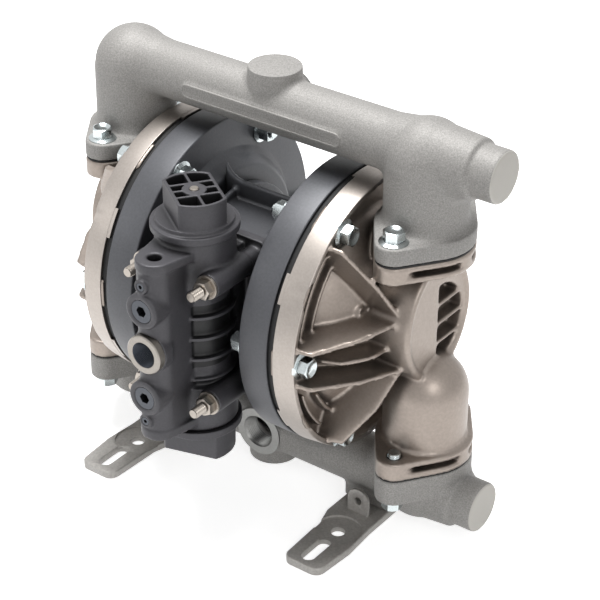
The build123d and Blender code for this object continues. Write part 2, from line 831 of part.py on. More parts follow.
with BuildPart() as valve_nuts:
    with BuildSketch(front(stud_face_y - washer_thickness)):
        with Locations(*stud_points):
            RegularPolygon(valve_nut_flats / 2, 6, major_radius=False)
            Circle(valve_stud_r + print_gap, mode=Mode.SUBTRACT)
    extrude(amount=valve_nut_height)
finish(valve_nuts, "valve_nuts")

# Sleeve and spool
sleeve_port_rises = (-air_port_rise, 0.0, air_port_rise)
with BuildPart() as valve_sleeve:
    with BuildSketch(level(rod_height - sleeve_half, y=spool_y)):
        Circle(sleeve_r - print_gap)
        Circle(sleeve_bore_r, mode=Mode.SUBTRACT)
    extrude(amount=2 * sleeve_half)
    with BuildSketch(front(spool_y)):
        with Locations(*[(0, rise) for rise in sleeve_port_rises]):
            Circle(air_port_r - 2)
    extrude(amount=sleeve_r, both=True, mode=Mode.SUBTRACT)
finish(valve_sleeve, "valve_sleeve")

spool_r = sleeve_bore_r - running_fit
spool_rest_z = rod_height - spool_travel
with BuildPart() as spool:
    with BuildSketch(level(spool_rest_z - spool_half, y=spool_y)):
        Circle(spool_neck_r)
    extrude(amount=2 * spool_half)
    for land_rise in (-spool_half + spool_land_half, -spool_land_rise, spool_land_rise,
                      spool_half - spool_land_half):
        with BuildSketch(level(spool_rest_z + land_rise - spool_land_half, y=spool_y)):
            Circle(spool_r)
        extrude(amount=2 * spool_land_half)
finish(spool, "spool")

# Valve caps: a brimmed cap with a grip that has two flats and a ribbed end
grip_ribs = (-cap_rib_pitch, 0.0, cap_rib_pitch)


def build_cap(end_sign, grip_turn, pin_bore_r):
    """One valve cap; end_sign is 1 for the top cap and -1 for the bottom cap."""
    base_z = rod_height + end_sign * valve_end
    outward = (0, 0, end_sign)
    base = Plane(origin=(0, spool_y, base_z), x_dir=(1, 0, 0), z_dir=outward).rotated((0, 0, grip_turn))
    with BuildPart() as cap:
        with BuildSketch(base):
            Circle(brim_r)
        extrude(amount=brim_thickness)
        with BuildSketch(base.offset(brim_thickness)):
            Circle(cap_step_r)
        extrude(amount=cap_step)
        with BuildSketch(base.offset(brim_thickness)):
            Circle(cap_grip_r)
            Rectangle(2 * cap_grip_flat, 2 * brim_r, mode=Mode.INTERSECT)
        extrude(amount=cap_end - valve_end - brim_thickness)
        with BuildSketch(base.offset(cap_end - valve_end)):
            Circle(cap_grip_r - cap_grip_wall)
            Rectangle(2 * (cap_grip_flat - cap_grip_wall), 2 * brim_r, mode=Mode.INTERSECT)
            with Locations(*[(0, place) for place in grip_ribs]):
                Rectangle(2 * brim_r, cap_rib, mode=Mode.SUBTRACT)
            Rectangle(cap_rib, 2 * brim_r, mode=Mode.SUBTRACT)
            Circle(cap_ring_r, mode=Mode.SUBTRACT)
        extrude(amount=-cap_pocket_depth, mode=Mode.SUBTRACT)
        with BuildSketch(base):
            Circle(cap_spigot_r)
        extrude(amount=-(valve_end - cap_spigot_end))
        with BuildSketch(base.offset(-(valve_end - cap_spigot_end) / 2)):
            Circle(cap_spigot_r)
            Circle(cap_spigot_r - 2 * cap_seal_section_r, mode=Mode.SUBTRACT)
        extrude(amount=cap_seal_section_r, both=True, mode=Mode.SUBTRACT)
        if pin_bore_r > 0:
            with BuildSketch(base.offset(cap_end - valve_end)):
                Circle(pin_bore_r)
            extrude(amount=-(cap_end - cap_spigot_end), mode=Mode.SUBTRACT)
            with BuildSketch(level(rod_height + spring_low - spring_wire_r - running_fit, y=spool_y)):
                Circle(spring_r + 2 * spring_wire_r + loose_fit)
            extrude(amount=spring_high - spring_low + spring_wire_r + running_fit, mode=Mode.SUBTRACT)
    return cap


upper_cap = build_cap(1, upper_grip_turn, reset_pin_r + running_fit)
finish(upper_cap, "valve_cap_top")
lower_cap = build_cap(-1, lower_grip_turn, 0.0)
finish(lower_cap, "valve_cap_bottom")

cap_seal_rise = (valve_end + cap_spigot_end) / 2
with BuildPart() as cap_seals:
    for rise in (-cap_seal_rise, cap_seal_rise):
        with BuildSketch(Plane(origin=(0, spool_y, rod_height + rise), x_dir=(1, 0, 0), z_dir=(0, -1, 0))):
            with Locations((cap_spigot_r - cap_seal_section_r + 0.2, 0)):
                Circle(cap_seal_section_r - 0.05)
        revolve(axis=Axis((0, spool_y, 0), (0, 0, 1)))
finish(cap_seals, "cap_seals")

# Reset pin in the top cap, held up by a small spring
with BuildPart() as reset_pin:
    with BuildSketch(level(rod_height + cap_spigot_end + 1, y=spool_y)):
        Circle(reset_pin_r)
    extrude(amount=cap_end - cap_spigot_end)
    with BuildSketch(level(rod_height + spring_high - reset_collar, y=spool_y)):
        Circle(spring_r + 2 * spring_wire_r)
    extrude(amount=reset_collar - loose_fit)
    chamfer(reset_pin.faces().sort_by(Axis.Z)[-1].edges(), 0.8)
finish(reset_pin, "reset_pin")

# Return spring of the reset pin
spring_start = rod_height + spring_low
spring_height = spring_high - reset_collar - spring_wire_r - running_fit - spring_low
with BuildPart() as reset_spring:
    with BuildLine():
        Helix(spring_height / spring_turns, spring_height, spring_r, center=(0, spool_y, spring_start))
    with BuildSketch(Plane(origin=(spring_r, spool_y, spring_start), x_dir=(1, 0, 0), z_dir=(0, 1, 0))):
        Circle(spring_wire_r)
    sweep(is_frenet=True)
finish(reset_spring, "reset_spring")

# Fasteners of the chambers: heads on the fluid covers, nuts behind the air chambers
shank_end_x = air_flange_inner_x - nut_height - bolt_tip
with BuildPart() as chamber_bolts:
    with BuildSketch(across(head_seat_x)):
        with Locations(*bolt_points):
            Circle(bolt_flange_r)
    extrude(amount=bolt_flange)
    with BuildSketch(across(head_seat_x)):
        with Locations(*bolt_points):
            RegularPolygon(bolt_flats / 2, 6, major_radius=False)
    extrude(amount=bolt_head)
    with BuildSketch(across(head_seat_x + bolt_head)):
        with Locations(*bolt_points):
            Circle(bolt_dish_r)
    extrude(amount=-bolt_dish, mode=Mode.SUBTRACT)
    with BuildSketch(across(head_seat_x)):
        with Locations(*bolt_points):
            Circle(bolt_r)
    extrude(amount=shank_end_x - head_seat_x)
finish_pair(chamber_bolts, "chamber_bolts")

nut_plane = Plane(origin=(air_flange_inner_x, 0, rod_height), x_dir=(0, 1, 0), z_dir=(-1, 0, 0))
with BuildPart() as chamber_nuts:
    with BuildSketch(nut_plane):
        with Locations(*bolt_points):
            Circle(bolt_flange_r)
    extrude(amount=bolt_flange)
    with BuildSketch(nut_plane):
        with Locations(*bolt_points):
            RegularPolygon(bolt_flats / 2, 6, major_radius=False)
    extrude(amount=nut_height)
    with BuildSketch(nut_plane):
        with Locations(*bolt_points):
            Circle(bolt_r + print_gap)
    extrude(amount=nut_height, mode=Mode.SUBTRACT)
finish_pair(chamber_nuts, "chamber_nuts")

# Heights at the two joints
cover_top_z = upper_joint_z - joint_gasket / 2
upper_face_z = upper_joint_z + joint_gasket / 2
cover_bottom_z = lower_joint_z + joint_gasket / 2
lower_face_z = lower_joint_z - joint_gasket / 2
upper_seat_z = upper_face_z - loose_fit
lower_seat_z = cover_bottom_z - loose_fit
ball_rise = math.sqrt(ball_r ** 2 - seat_bore_r ** 2) + loose_fit
upper_ball_z = upper_seat_z + ball_rise
lower_ball_z = lower_seat_z + ball_rise
stop_drop = math.sqrt(ball_r ** 2 - cage_stop_r ** 2)
upper_stop_z = upper_ball_z + ball_lift + loose_fit + stop_drop
lower_stop_z = lower_ball_z + ball_lift + loose_fit + stop_drop


def flange_outline(reach, inset=0.0):
    """Outline of a joint flange in the open sketch, at +reach along X."""
    with Locations((reach, 0)):
        Circle(flange_core_r - inset)
    with Locations((reach, flange_bolt_y), (reach, -flange_bolt_y)):
        Circle(flange_lug_r - inset)
    make_hull()


def build_manifold(axis_z, away, reach, face_z, lug_height, port_side):
    """One manifold; away is 1 for the upper one, its legs point the other way."""
    joint_plane = Plane(origin=(0, 0, face_z), x_dir=(1, 0, 0), z_dir=(0, 0, away))
    axis_plane = Plane(origin=(-reach, 0, axis_z), x_dir=(0, 1, 0), z_dir=(1, 0, 0))
    port_plane = Plane(origin=(0, port_side * port_face_y, axis_z), x_dir=(1, 0, 0), z_dir=(0, -port_side, 0))
    leg_length = abs(axis_z - face_z)
    leg_places = [(-reach, 0), (reach, 0)]
    bolt_places = [(sign * reach, y) for sign in (-1, 1) for y in (-flange_bolt_y, flange_bolt_y)]
    with BuildPart() as casting:
        with BuildSketch(front(0, axis_z)):
            with BuildLine():
                Polyline(
                    (-reach, 0),
                    (-reach, elbow_rise),
                    (elbow_run - reach, pipe_r),
                    (reach - elbow_run, pipe_r),
                    (reach, elbow_rise),
                    (stub_x - stub_length, pipe_end_r),
                    (stub_x - stub_length, stub_r),
                    (stub_x - stub_chamfer, stub_r),
                    (stub_x, stub_r - stub_chamfer),
                    (stub_x, 0),
                    close=True,
                )
            make_face()
        revolve(axis=Axis((0, 0, axis_z), (1, 0, 0)))
        # Each sphere leans so that its poles lie inside the pipe and the leg, clear of the skin.
        with Locations(*[Location((x, 0, axis_z - away * elbow_drop), (0, 90 - 60 * away, 0)) for x in (-reach, reach)]):
            Sphere(elbow_r)
        with BuildSketch(joint_plane):
            with Locations(*leg_places):
                Circle(leg_r)
        extrude(amount=leg_length - elbow_drop)
        if away < 0:
            # The sphere is taller than the short lower leg, so it is cut off at the joint face.
            with BuildSketch(joint_plane):
                with Locations(*leg_places):
                    Circle(leg_r)
            extrude(amount=-elbow_r, mode=Mode.SUBTRACT)
        for sign in (-1, 1):
            with BuildSketch(joint_plane):
                flange_outline(sign * reach)
            extrude(amount=lug_height)
        with BuildSketch(joint_plane.offset(leg_length)):
            Circle(boss_r)
        extrude(amount=boss_reach)
        with BuildSketch(port_plane):
            Circle(port_ring_r)
        extrude(amount=port_face_y)
        if away > 0:
            with BuildSketch(front(-pipe_r - pad_stand, axis_z + pad_lift)):
                with Locations(((pad_left_x + pad_right_x) / 2, 0)):
                    SlotOverall(pad_right_x - pad_left_x, 2 * pad_half_height)
            extrude(amount=-0.4 * pipe_r)
        else:
            with BuildSketch(level(foot_thickness)):
                with Locations((-pedestal_x, 0), (pedestal_x, 0)):
                    Rectangle(2 * pedestal_half_width, 2 * pedestal_half_length)
            extrude(amount=axis_z - foot_thickness)
        with BuildSketch(port_plane):
            Circle(port_ring_r + 0.4)
        extrude(amount=-0.5 * pipe_r, mode=Mode.SUBTRACT)
        with BuildSketch(port_plane):
            Circle(port_bore_r)
        extrude(amount=port_depth, mode=Mode.SUBTRACT)
        with BuildSketch(port_plane):
            Circle(port_bore_r + port_chamfer)
        extrude(amount=port_chamfer, taper=45, mode=Mode.SUBTRACT)
        with BuildSketch(port_plane.offset(port_depth)):
            Circle(port_bore_r - 2)
        extrude(amount=port_face_y - port_depth + cross_bore_shift, mode=Mode.SUBTRACT)
        core_plane = Plane(origin=(-port_core_half - 4, 0, axis_z), x_dir=(0, 1, 0), z_dir=(1, 0, 0))
        with BuildSketch(core_plane):
            with Locations((-port_side * cross_bore_shift, 0)):
                Circle(cross_bore_r)
        extrude(amount=2 * port_core_half + 8, mode=Mode.SUBTRACT)
        for sign in (-1, 1):
            bore_plane = Plane(origin=(sign * port_core_half, 0, axis_z), x_dir=(0, 1, 0), z_dir=(sign, 0, 0))
            with BuildSketch(bore_plane):
                Circle(pipe_bore_r)
            extrude(amount=reach - port_core_half + 8, mode=Mode.SUBTRACT)
        with BuildSketch(joint_plane):
            with Locations(*leg_places):
                Circle(cage_stop_r)
        extrude(amount=leg_length, mode=Mode.SUBTRACT)
        with BuildSketch(joint_plane):
            with Locations(*leg_places):
                Circle(cage_r if away > 0 else seat_r + loose_fit)
        if away > 0:
            extrude(amount=upper_stop_z - face_z, mode=Mode.SUBTRACT)
        else:
            extrude(amount=face_z - lower_seat_z + seat_height, mode=Mode.SUBTRACT)
        with BuildSketch(joint_plane):
            with Locations(*bolt_places):
                Circle(bolt_clear_r)
        extrude(amount=lug_height, mode=Mode.SUBTRACT)
        with BuildSketch(joint_plane.offset(lug_height)):
            with Locations(*bolt_places):
                Circle(bolt_flange_r + 0.6)
        extrude(amount=spot_face_depth, mode=Mode.SUBTRACT)
        if away < 0:
            with BuildSketch(level(foot_thickness)):
                with Locations(*foot_screw_places):
                    Circle(foot_screw_r + print_gap)
            extrude(amount=foot_screw_bite, mode=Mode.SUBTRACT)
    return casting


foot_screw_rows = (-foot_screw_spread, foot_screw_spread)
foot_screw_places = [(sign * pedestal_x + place, 0) for sign in (-1, 1) for place in foot_screw_rows]
upper_manifold = build_manifold(upper_axis_z, 1, upper_leg_x, upper_face_z, upper_lug_height, 1)
finish(upper_manifold, "upper_manifold")
lower_manifold = build_manifold(lower_axis_z, -1, lower_leg_x, lower_face_z, lower_lug_height, -1)
finish(lower_manifold, "lower_manifold")

# Fluid covers
rib_ends = {"up": rib_end_z, "down": -rib_end_z}
rib_roots = [(51.0, "up"), (7.7, "up"), (-7.7, "down"), (-53.0, "down")]
arc_rib_spans = [
    (outer_arc_rib_r, 9.0, 48.0),
    (outer_arc_rib_r, -45.0, -18.0),
    (inner_arc_rib_r, 10.0, 47.0),
    (inner_arc_rib_r, -50.0, -27.0),
]
rib_top = [
    (0.0, cover_rim_x - rib_top_gap),
    (0.03, cover_rim_x - rib_top_gap + rib_step),
    (0.5, cover_rim_x + rib_rise),
    (1.0, rib_end_x),
]
middle_rib_top = [(share, cover_web_x + rise) for share, rise in middle_rib_rises]
bowl_wall_x = dome_tip_x - dome_wall


def rib_polygon(start, end, top, flip):
    """A rib between two points of the YZ plane; top holds (share of its length, x) of its edge."""
    (start_y, start_z), (end_y, end_z) = start, end
    start_y, end_y = flip * start_y, flip * end_y
    length = math.hypot(end_y - start_y, end_z - start_z)
    along = (0, (end_y - start_y) / length, (end_z - start_z) / length)
    normal = (0, along[2], -along[1])
    with BuildSketch(Plane(origin=(0, start_y, rod_height + start_z), x_dir=along, z_dir=normal)) as rib:
        with BuildLine():
            Polyline(
                (0, rib_base_x),
                *[(share * length, x) for share, x in top],
                (length + rib_sink, top[-1][1]),
                (length + rib_sink, rib_base_x),
                close=True,
            )
        make_face()
    extrude(rib.sketch, amount=rib_thickness / 2, both=True)


def conduit_outline(inset):
    """Outline of the outer panel as a closed loop in the open line."""
    low = conduit_low_half_width - inset
    middle = conduit_half_width - inset
    high = conduit_top_half_width - inset
    bottom = inset - conduit_drop
    top = conduit_rise - inset
    Line((-low, bottom), (low, bottom))
    ThreePointArc((low, bottom), (middle, conduit_middle_rise), (high, top))
    Line((high, top), (-high, top))
    ThreePointArc((-high, top), (-middle, conduit_middle_rise), (-low, bottom))


with BuildPart() as fluid_cover:
    with BuildSketch(across(conduit_back_x)):
        with BuildLine():
            conduit_outline(0.0)
        make_face()
    extrude(amount=conduit_x - conduit_back_x)
    fillet(fluid_cover.faces().sort_by(Axis.X)[-1].edges(), conduit_round)
    with BuildSketch(across(conduit_x)):
        with BuildLine():
            conduit_outline(panel_rim)
        make_face()
    extrude(amount=-panel_recess, mode=Mode.SUBTRACT)
    with BuildSketch(across(conduit_x)):
        with Locations((0, pocket_lift)):
            Circle(pocket_r)
            with Locations((pocket_r / 2 + pocket_offset, 0)):
                Rectangle(pocket_r, 2 * pocket_r, mode=Mode.INTERSECT)
            for place in (-pocket_bar_pitch, 0.0, pocket_bar_pitch):
                with Locations((pocket_r / 2, place)):
                    Rectangle(pocket_r + 4, pocket_bar, mode=Mode.SUBTRACT)
    extrude(amount=-pocket_depth, mode=Mode.SUBTRACT)
    with BuildSketch(level(cover_top_z - cover_upper_flange + 1, neck_x)):
        Circle(neck_top_r)
    with BuildSketch(level(cover_top_z - cover_upper_flange - neck_height, neck_x)):
        Circle(neck_low_r)
    loft()
    with BuildSketch(front(0)):
        with BuildLine():
            Polyline(
                (cover_face_x, 0),
                (cover_face_x, chamber_r),
                (cover_rim_x, cover_rim_r),
                (cover_rim_x, cover_rim_r - cover_rim_land),
                (cover_web_x, cover_rim_r - cover_rim_land - cover_rim_draft),
                (cover_web_x, dome_foot_r),
            )
            ThreePointArc((cover_web_x, dome_foot_r), dome_middle, (dome_tip_x, dome_flat_r))
            Polyline((dome_tip_x, dome_flat_r), (dome_tip_x, 0), (cover_face_x, 0))
        make_face()
    revolve(axis=rod_axis)
    with BuildSketch(across(cover_face_x)):
        with Locations(*bolt_points):
            Circle(head_boss_r)
        Circle(chamber_r - 0.6, mode=Mode.INTERSECT)
    extrude(amount=head_seat_x - cover_face_x)
    for flip in (1, -1):
        for angle, end in rib_roots:
            root = (-rib_foot_r * math.cos(math.radians(angle)), rib_foot_r * math.sin(math.radians(angle)))
            rib_polygon(root, (-rib_end_y, rib_ends[end]), rib_top, flip)
        rib_polygon((-middle_rib_root_y, 0.0), (-rib_end_y, -middle_rib_drop), middle_rib_top, flip)
        with BuildSketch(across(rib_base_x)):
            for radius, start, end in arc_rib_spans:
                turn = 180 - end if flip > 0 else start
                with BuildLine():
                    outer = CenterArc((0, 0), radius + arc_rib_half, turn, end - start)
                    inner = CenterArc((0, 0), radius - arc_rib_half, turn, end - start)
                    Line(outer @ 0, inner @ 0)
                    Line(outer @ 1, inner @ 1)
                make_face()
        extrude(amount=arc_rib_x - rib_base_x)
        with BuildSketch(across(rib_base_x)):
            with Locations((-flip * side_boss_y, side_boss_z)):
                Circle(side_boss_r)
        extrude(amount=dome_tip_x - side_boss_drop - rib_base_x)
    with BuildSketch(level(cover_bottom_z, lower_leg_x)):
        Circle(cover_leg_r)
    extrude(amount=lower_dome_z - cover_bottom_z)
    with Locations((lower_leg_x, 0, lower_dome_z)):
        Sphere(cover_leg_r)
    with BuildSketch(level(cover_bottom_z)):
        flange_outline(lower_leg_x)
    extrude(amount=cover_lower_flange)
    with BuildSketch(level(cover_top_z - cover_upper_flange)):
        flange_outline(upper_leg_x)
    extrude(amount=cover_upper_flange)
    with BuildSketch(across(cover_face_x - tab_reach)):
        with PolarLocations(chamber_r, chamber_bolt_count):
            Rectangle(rim_tab_depth, rim_tab_width)
        Circle(chamber_r, mode=Mode.INTERSECT)
        Circle(diaphragm_outer_r + loose_fit, mode=Mode.SUBTRACT)
    extrude(amount=tab_reach)
    with BuildSketch(front(0)):
        with BuildLine():
            Polyline(
                (cover_face_x - tab_reach - 1, 0),
                (cover_face_x - tab_reach - 1, diaphragm_bead_r),
                (cover_face_x, diaphragm_bead_r),
                (cover_face_x + 2.5, dome_foot_r - 1.0),
                (dome_middle[0] - 6.5, dome_middle[1] - 1.0),
                (bowl_wall_x, dome_flat_r - 3.0),
                (bowl_wall_x, 0),
                close=True,
            )
        make_face()
    revolve(axis=rod_axis, mode=Mode.SUBTRACT)
    with BuildSketch(across(duct_back_x)):
        with Locations((0, (duct_top + duct_bottom) / 2)):
            RectangleRounded(2 * duct_half_width, duct_top - duct_bottom, duct_round)
    extrude(amount=duct_front_x - duct_back_x, mode=Mode.SUBTRACT)
    with BuildSketch(level(cover_top_z, upper_leg_x)):
        Circle(port_duct_r)
    extrude(amount=-port_duct_depth, mode=Mode.SUBTRACT)
    with BuildSketch(level(cover_top_z, upper_leg_x)):
        Circle(seat_r + loose_fit)
    extrude(amount=upper_seat_z - seat_height - cover_top_z, mode=Mode.SUBTRACT)
    with BuildSketch(across(bowl_wall_x - 8)):
        Circle(passage_r)
    extrude(amount=duct_front_x - bowl_wall_x + 4, mode=Mode.SUBTRACT)
    with BuildSketch(level(rod_height + side_duct_bottom, side_duct_x)):
        Circle(side_duct_r)
    extrude(amount=side_duct_length, mode=Mode.SUBTRACT)
    with BuildSketch(level(cover_bottom_z, lower_leg_x)):
        Circle(cage_r)
    extrude(amount=lower_stop_z - cover_bottom_z, mode=Mode.SUBTRACT)
    with BuildSketch(level(cover_bottom_z, lower_leg_x)):
        Circle(cage_stop_r)
    extrude(amount=lower_stop_z - cover_bottom_z + cage_top, mode=Mode.SUBTRACT)
    for slot_z, reach in (((cover_top_z - cover_upper_flange / 2), upper_leg_x),
                          ((cover_bottom_z + cover_lower_flange / 2), lower_leg_x)):
        with BuildSketch(level(slot_z - slot_height / 2)):
            flange_outline(reach)
            with Locations((reach, 0)):
                Circle(flange_core_r - slot_depth, mode=Mode.SUBTRACT)
            with Locations((reach, flange_bolt_y), (reach, -flange_bolt_y)):
                Circle(flange_lug_r + 0.5, mode=Mode.SUBTRACT)
            with Locations((reach + flange_core_r / 2 + 6, 0)):
                Rectangle(flange_core_r, 3 * flange_core_r, mode=Mode.INTERSECT)
            with Locations((reach + flange_core_r, 0)):
                Rectangle(flange_core_r, slot_bridge, mode=Mode.SUBTRACT)
        extrude(amount=slot_height, mode=Mode.SUBTRACT)
    with BuildSketch(level(cover_top_z)):
        with Locations((upper_leg_x, flange_bolt_y), (upper_leg_x, -flange_bolt_y)):
            Circle(bolt_r + print_gap)
    extrude(amount=-cover_upper_flange, mode=Mode.SUBTRACT)
    with BuildSketch(level(cover_bottom_z)):
        with Locations((lower_leg_x, flange_bolt_y), (lower_leg_x, -flange_bolt_y)):
            Circle(bolt_r + print_gap)
    extrude(amount=cover_lower_flange, mode=Mode.SUBTRACT)
    with BuildSketch(across(cover_face_x - tab_reach)):
        with Locations(*bolt_points):
            Circle(bolt_clear_r)
    extrude(amount=head_seat_x - cover_face_x + tab_reach, mode=Mode.SUBTRACT)
    with BuildSketch(across(head_seat_x)):
        with Locations(*bolt_points):
            Circle(bolt_flange_r + 0.5)
    extrude(amount=cover_rim_x - head_seat_x + 1, mode=Mode.SUBTRACT)
finish_pair(fluid_cover, "fluid_cover")

# Flat gaskets in the four joints
with BuildPart() as joint_gaskets:
    for low_z, reach in ((cover_top_z, upper_leg_x), (lower_face_z, lower_leg_x)):
        for sign in (-1, 1):
            with BuildSketch(level(low_z)):
                flange_outline(sign * reach, gasket_inset)
                with Locations((sign * reach, 0)):
                    Circle(seat_r + 1.0, mode=Mode.SUBTRACT)
                with Locations((sign * reach, flange_bolt_y), (sign * reach, -flange_bolt_y)):
                    Circle(bolt_clear_r, mode=Mode.SUBTRACT)
            extrude(amount=joint_gasket)
finish(joint_gaskets, "joint_gaskets")

# Bolts of the manifolds, heads on the manifold lugs
manifold_bolt_rows = (
    ("manifold_bolts_upper", upper_face_z + upper_lug_height, 1, upper_leg_x,
     upper_lug_height + joint_gasket + cover_upper_flange - 2.0),
    ("manifold_bolts_lower", lower_face_z - lower_lug_height, -1, lower_leg_x,
     lower_lug_height + joint_gasket + cover_lower_flange + 3.0),
)
for row_name, seat_z, away, reach, shank in manifold_bolt_rows:
    seat_plane = Plane(origin=(0, 0, seat_z), x_dir=(1, 0, 0), z_dir=(0, 0, away))
    places = [(sign * reach, y) for sign in (-1, 1) for y in (-flange_bolt_y, flange_bolt_y)]
    with BuildPart() as manifold_bolts:
        with BuildSketch(seat_plane):
            with Locations(*places):
                Circle(bolt_flange_r)
        extrude(amount=bolt_flange)
        with BuildSketch(seat_plane):
            with Locations(*places):
                RegularPolygon(bolt_flats / 2, 6, major_radius=False)
        extrude(amount=bolt_head)
        with BuildSketch(seat_plane.offset(bolt_head)):
            with Locations(*places):
                Circle(bolt_dish_r)
        extrude(amount=-bolt_dish, mode=Mode.SUBTRACT)
        with BuildSketch(seat_plane):
            with Locations(*places):
                Circle(bolt_r)
        extrude(amount=-shank)
    finish(manifold_bolts, row_name)

# Ball seats with their O-rings, and the balls
valve_rows = (("upper", upper_seat_z, upper_leg_x), ("lower", lower_seat_z, lower_leg_x))
for row_name, top_z, reach in valve_rows:
    with BuildPart() as ball_seats:
        with BuildSketch(level(top_z - seat_height)):
            with Locations((-reach, 0), (reach, 0)):
                Circle(seat_r)
                Circle(seat_bore_r, mode=Mode.SUBTRACT)
        extrude(amount=seat_height)
        with BuildSketch(level(top_z - seat_height)):
            with Locations((-reach, 0), (reach, 0)):
                Circle(seat_r)
                Circle(ring_r - ring_section_r, mode=Mode.SUBTRACT)
        extrude(amount=2 * ring_section_r + print_gap, mode=Mode.SUBTRACT)
    finish(ball_seats, f"ball_seats_{row_name}")
    with BuildPart() as seat_rings:
        for sign in (-1, 1):
            ring_plane = Plane(origin=(sign * reach, 0, top_z - seat_height + ring_section_r),
                               x_dir=(1, 0, 0), z_dir=(0, -1, 0))
            with BuildSketch(ring_plane):
                with Locations((ring_r, 0)):
                    Circle(ring_section_r - 0.02)
            revolve(axis=Axis((sign * reach, 0, 0), (0, 0, 1)))
    finish(seat_rings, f"seat_rings_{row_name}")
    for side_name, sign in sides.items():
        with BuildPart() as ball:
            with Locations((sign * reach, 0, top_z + ball_rise)):
                Sphere(ball_r)
        finish(ball, f"ball_{row_name}_{side_name}")

# Feet: a plate with a counterbored hole, a slot at each end and one upright tab
with BuildPart() as foot:
    with BuildSketch(level(0)):
        with BuildLine():
            Polyline(
                *foot_outline,
                *[(x, -y) for x, y in reversed(foot_outline)],
                close=True,
            )
        make_face()
    extrude(amount=foot_thickness)
    fillet(foot.edges().filter_by(Axis.Z).filter_by(
        lambda edge: abs(edge.center().Y) > foot_half_length - 1), foot_corner)
    chamfer(foot.faces().sort_by(Axis.Z)[-1].edges(), 0.8)
    with BuildSketch(level(foot_thickness)):
        with Locations((foot_x, -foot_hole_y), (foot_x, foot_hole_y)):
            Circle(foot_seat_r)
    extrude(amount=-foot_seat_depth, mode=Mode.SUBTRACT)
    with BuildSketch(level(0)):
        with Locations((foot_x, -foot_hole_y), (foot_x, foot_hole_y)):
            Circle(foot_hole_r)
        with Locations((foot_slot_x, -foot_slot_y), (foot_slot_x, foot_slot_y)):
            SlotOverall(foot_slot_length, foot_slot_width, rotation=90)
    extrude(amount=foot_thickness, mode=Mode.SUBTRACT)
    with BuildSketch(level(0)):
        with Locations((pedestal_x - foot_screw_spread, 0), (pedestal_x + foot_screw_spread, 0)):
            Circle(foot_screw_r + print_gap)
    extrude(amount=foot_thickness, mode=Mode.SUBTRACT)
    with BuildSketch(level(0)):
        with Locations((pedestal_x - foot_screw_spread, 0), (pedestal_x + foot_screw_spread, 0)):
            Circle(foot_screw_head_r + loose_fit)
    extrude(amount=foot_screw_head + loose_fit, mode=Mode.SUBTRACT)
    with BuildSketch(front(tab_front_y, 0)):
        with Locations((tab_x, foot_thickness / 2 + (tab_top_z - tab_half_width) / 2)):
            Rectangle(2 * tab_half_width, tab_top_z - tab_half_width - foot_thickness)
        with Locations((tab_x, tab_top_z - tab_half_width)):
            Circle(tab_half_width)
    extrude(amount=-tab_thickness)
    with BuildSketch(front(tab_front_y, 0)):
        with Locations((tab_x, tab_hole_z)):
            Circle(tab_hole_r)
    extrude(amount=-tab_thickness, mode=Mode.SUBTRACT)
finish_pair(foot, "foot")

with BuildPart() as foot_screws:
    with BuildSketch(level(loose_fit)):
        with Locations(*foot_screw_places):
            Circle(foot_screw_head_r)
            RegularPolygon(0.5 * foot_screw_head_r, 6, mode=Mode.SUBTRACT)
    extrude(amount=foot_screw_head)
    with BuildSketch(level(0.6 * foot_screw_head)):
        with Locations(*foot_screw_places):
            Circle(foot_screw_r)
    extrude(amount=0.4 * foot_screw_head + foot_thickness - foot_screw_head + foot_screw_bite - 1)
finish(foot_screws, "foot_screws")
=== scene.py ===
"""Finishes, castings, fasteners and stage of an air operated diaphragm pump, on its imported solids."""
import math

import bmesh
import bpy
import numpy as np
from bpy.props import FloatProperty, FloatVectorProperty, IntProperty, PointerProperty
from mathutils import Matrix, Vector


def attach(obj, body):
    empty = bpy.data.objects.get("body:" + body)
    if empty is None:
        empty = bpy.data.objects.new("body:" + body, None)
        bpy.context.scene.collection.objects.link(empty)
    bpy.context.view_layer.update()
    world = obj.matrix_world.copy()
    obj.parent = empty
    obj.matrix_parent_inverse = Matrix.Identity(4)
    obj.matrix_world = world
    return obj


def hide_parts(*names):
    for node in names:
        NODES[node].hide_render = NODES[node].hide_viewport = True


bl_info = {
    "name": "Diaphragm Pump",
    "version": (1, 0, 0),
    "blender": (4, 5, 0),
    "location": "View3D > Sidebar > Pump",
    "description": "Dresses the solids of an air operated diaphragm pump",
    "category": "Object",
}

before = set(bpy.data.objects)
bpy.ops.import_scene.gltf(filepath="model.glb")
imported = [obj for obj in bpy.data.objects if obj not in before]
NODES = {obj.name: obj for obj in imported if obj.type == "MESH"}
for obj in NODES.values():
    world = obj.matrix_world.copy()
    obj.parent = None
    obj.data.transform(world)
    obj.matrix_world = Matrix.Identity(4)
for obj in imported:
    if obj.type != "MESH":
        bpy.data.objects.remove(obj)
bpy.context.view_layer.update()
MM = 0.001

# Places and sizes of the solids that the pieces are fitted to, in millimetres
ROD_HEIGHT = 178.0
AXIS_RISE = 139.5
UPPER_AXIS_Z = ROD_HEIGHT + AXIS_RISE
LOWER_AXIS_Z = ROD_HEIGHT - AXIS_RISE
UPPER_LEG_X = 134.0
LOWER_LEG_X = 141.0
STUB_FACE_X = 195.2
PORT_FACE_Y = 22.0
RIM_R = 110.0
RIM_BACK_X = 80.5
CHAMBER_FACE_X = 38.0
BOLT_CIRCLE_R = 98.0
SIXTHS = [math.radians(60 * step) for step in range(6)]
SPOOL_Y = -94.5
FIN_PITCH = 17.5
PAD_HALF = 72.0
PAD_HALF_HEIGHT = 5.7


def linear(code):
    """Turns an sRGB hex colour into the linear one that shaders read."""
    parts = [int(code[place:place + 2], 16) / 255 for place in (1, 3, 5)]
    return tuple(part / 12.92 if part <= 0.04045 else ((part + 0.055) / 1.055) ** 2.4 for part in parts)


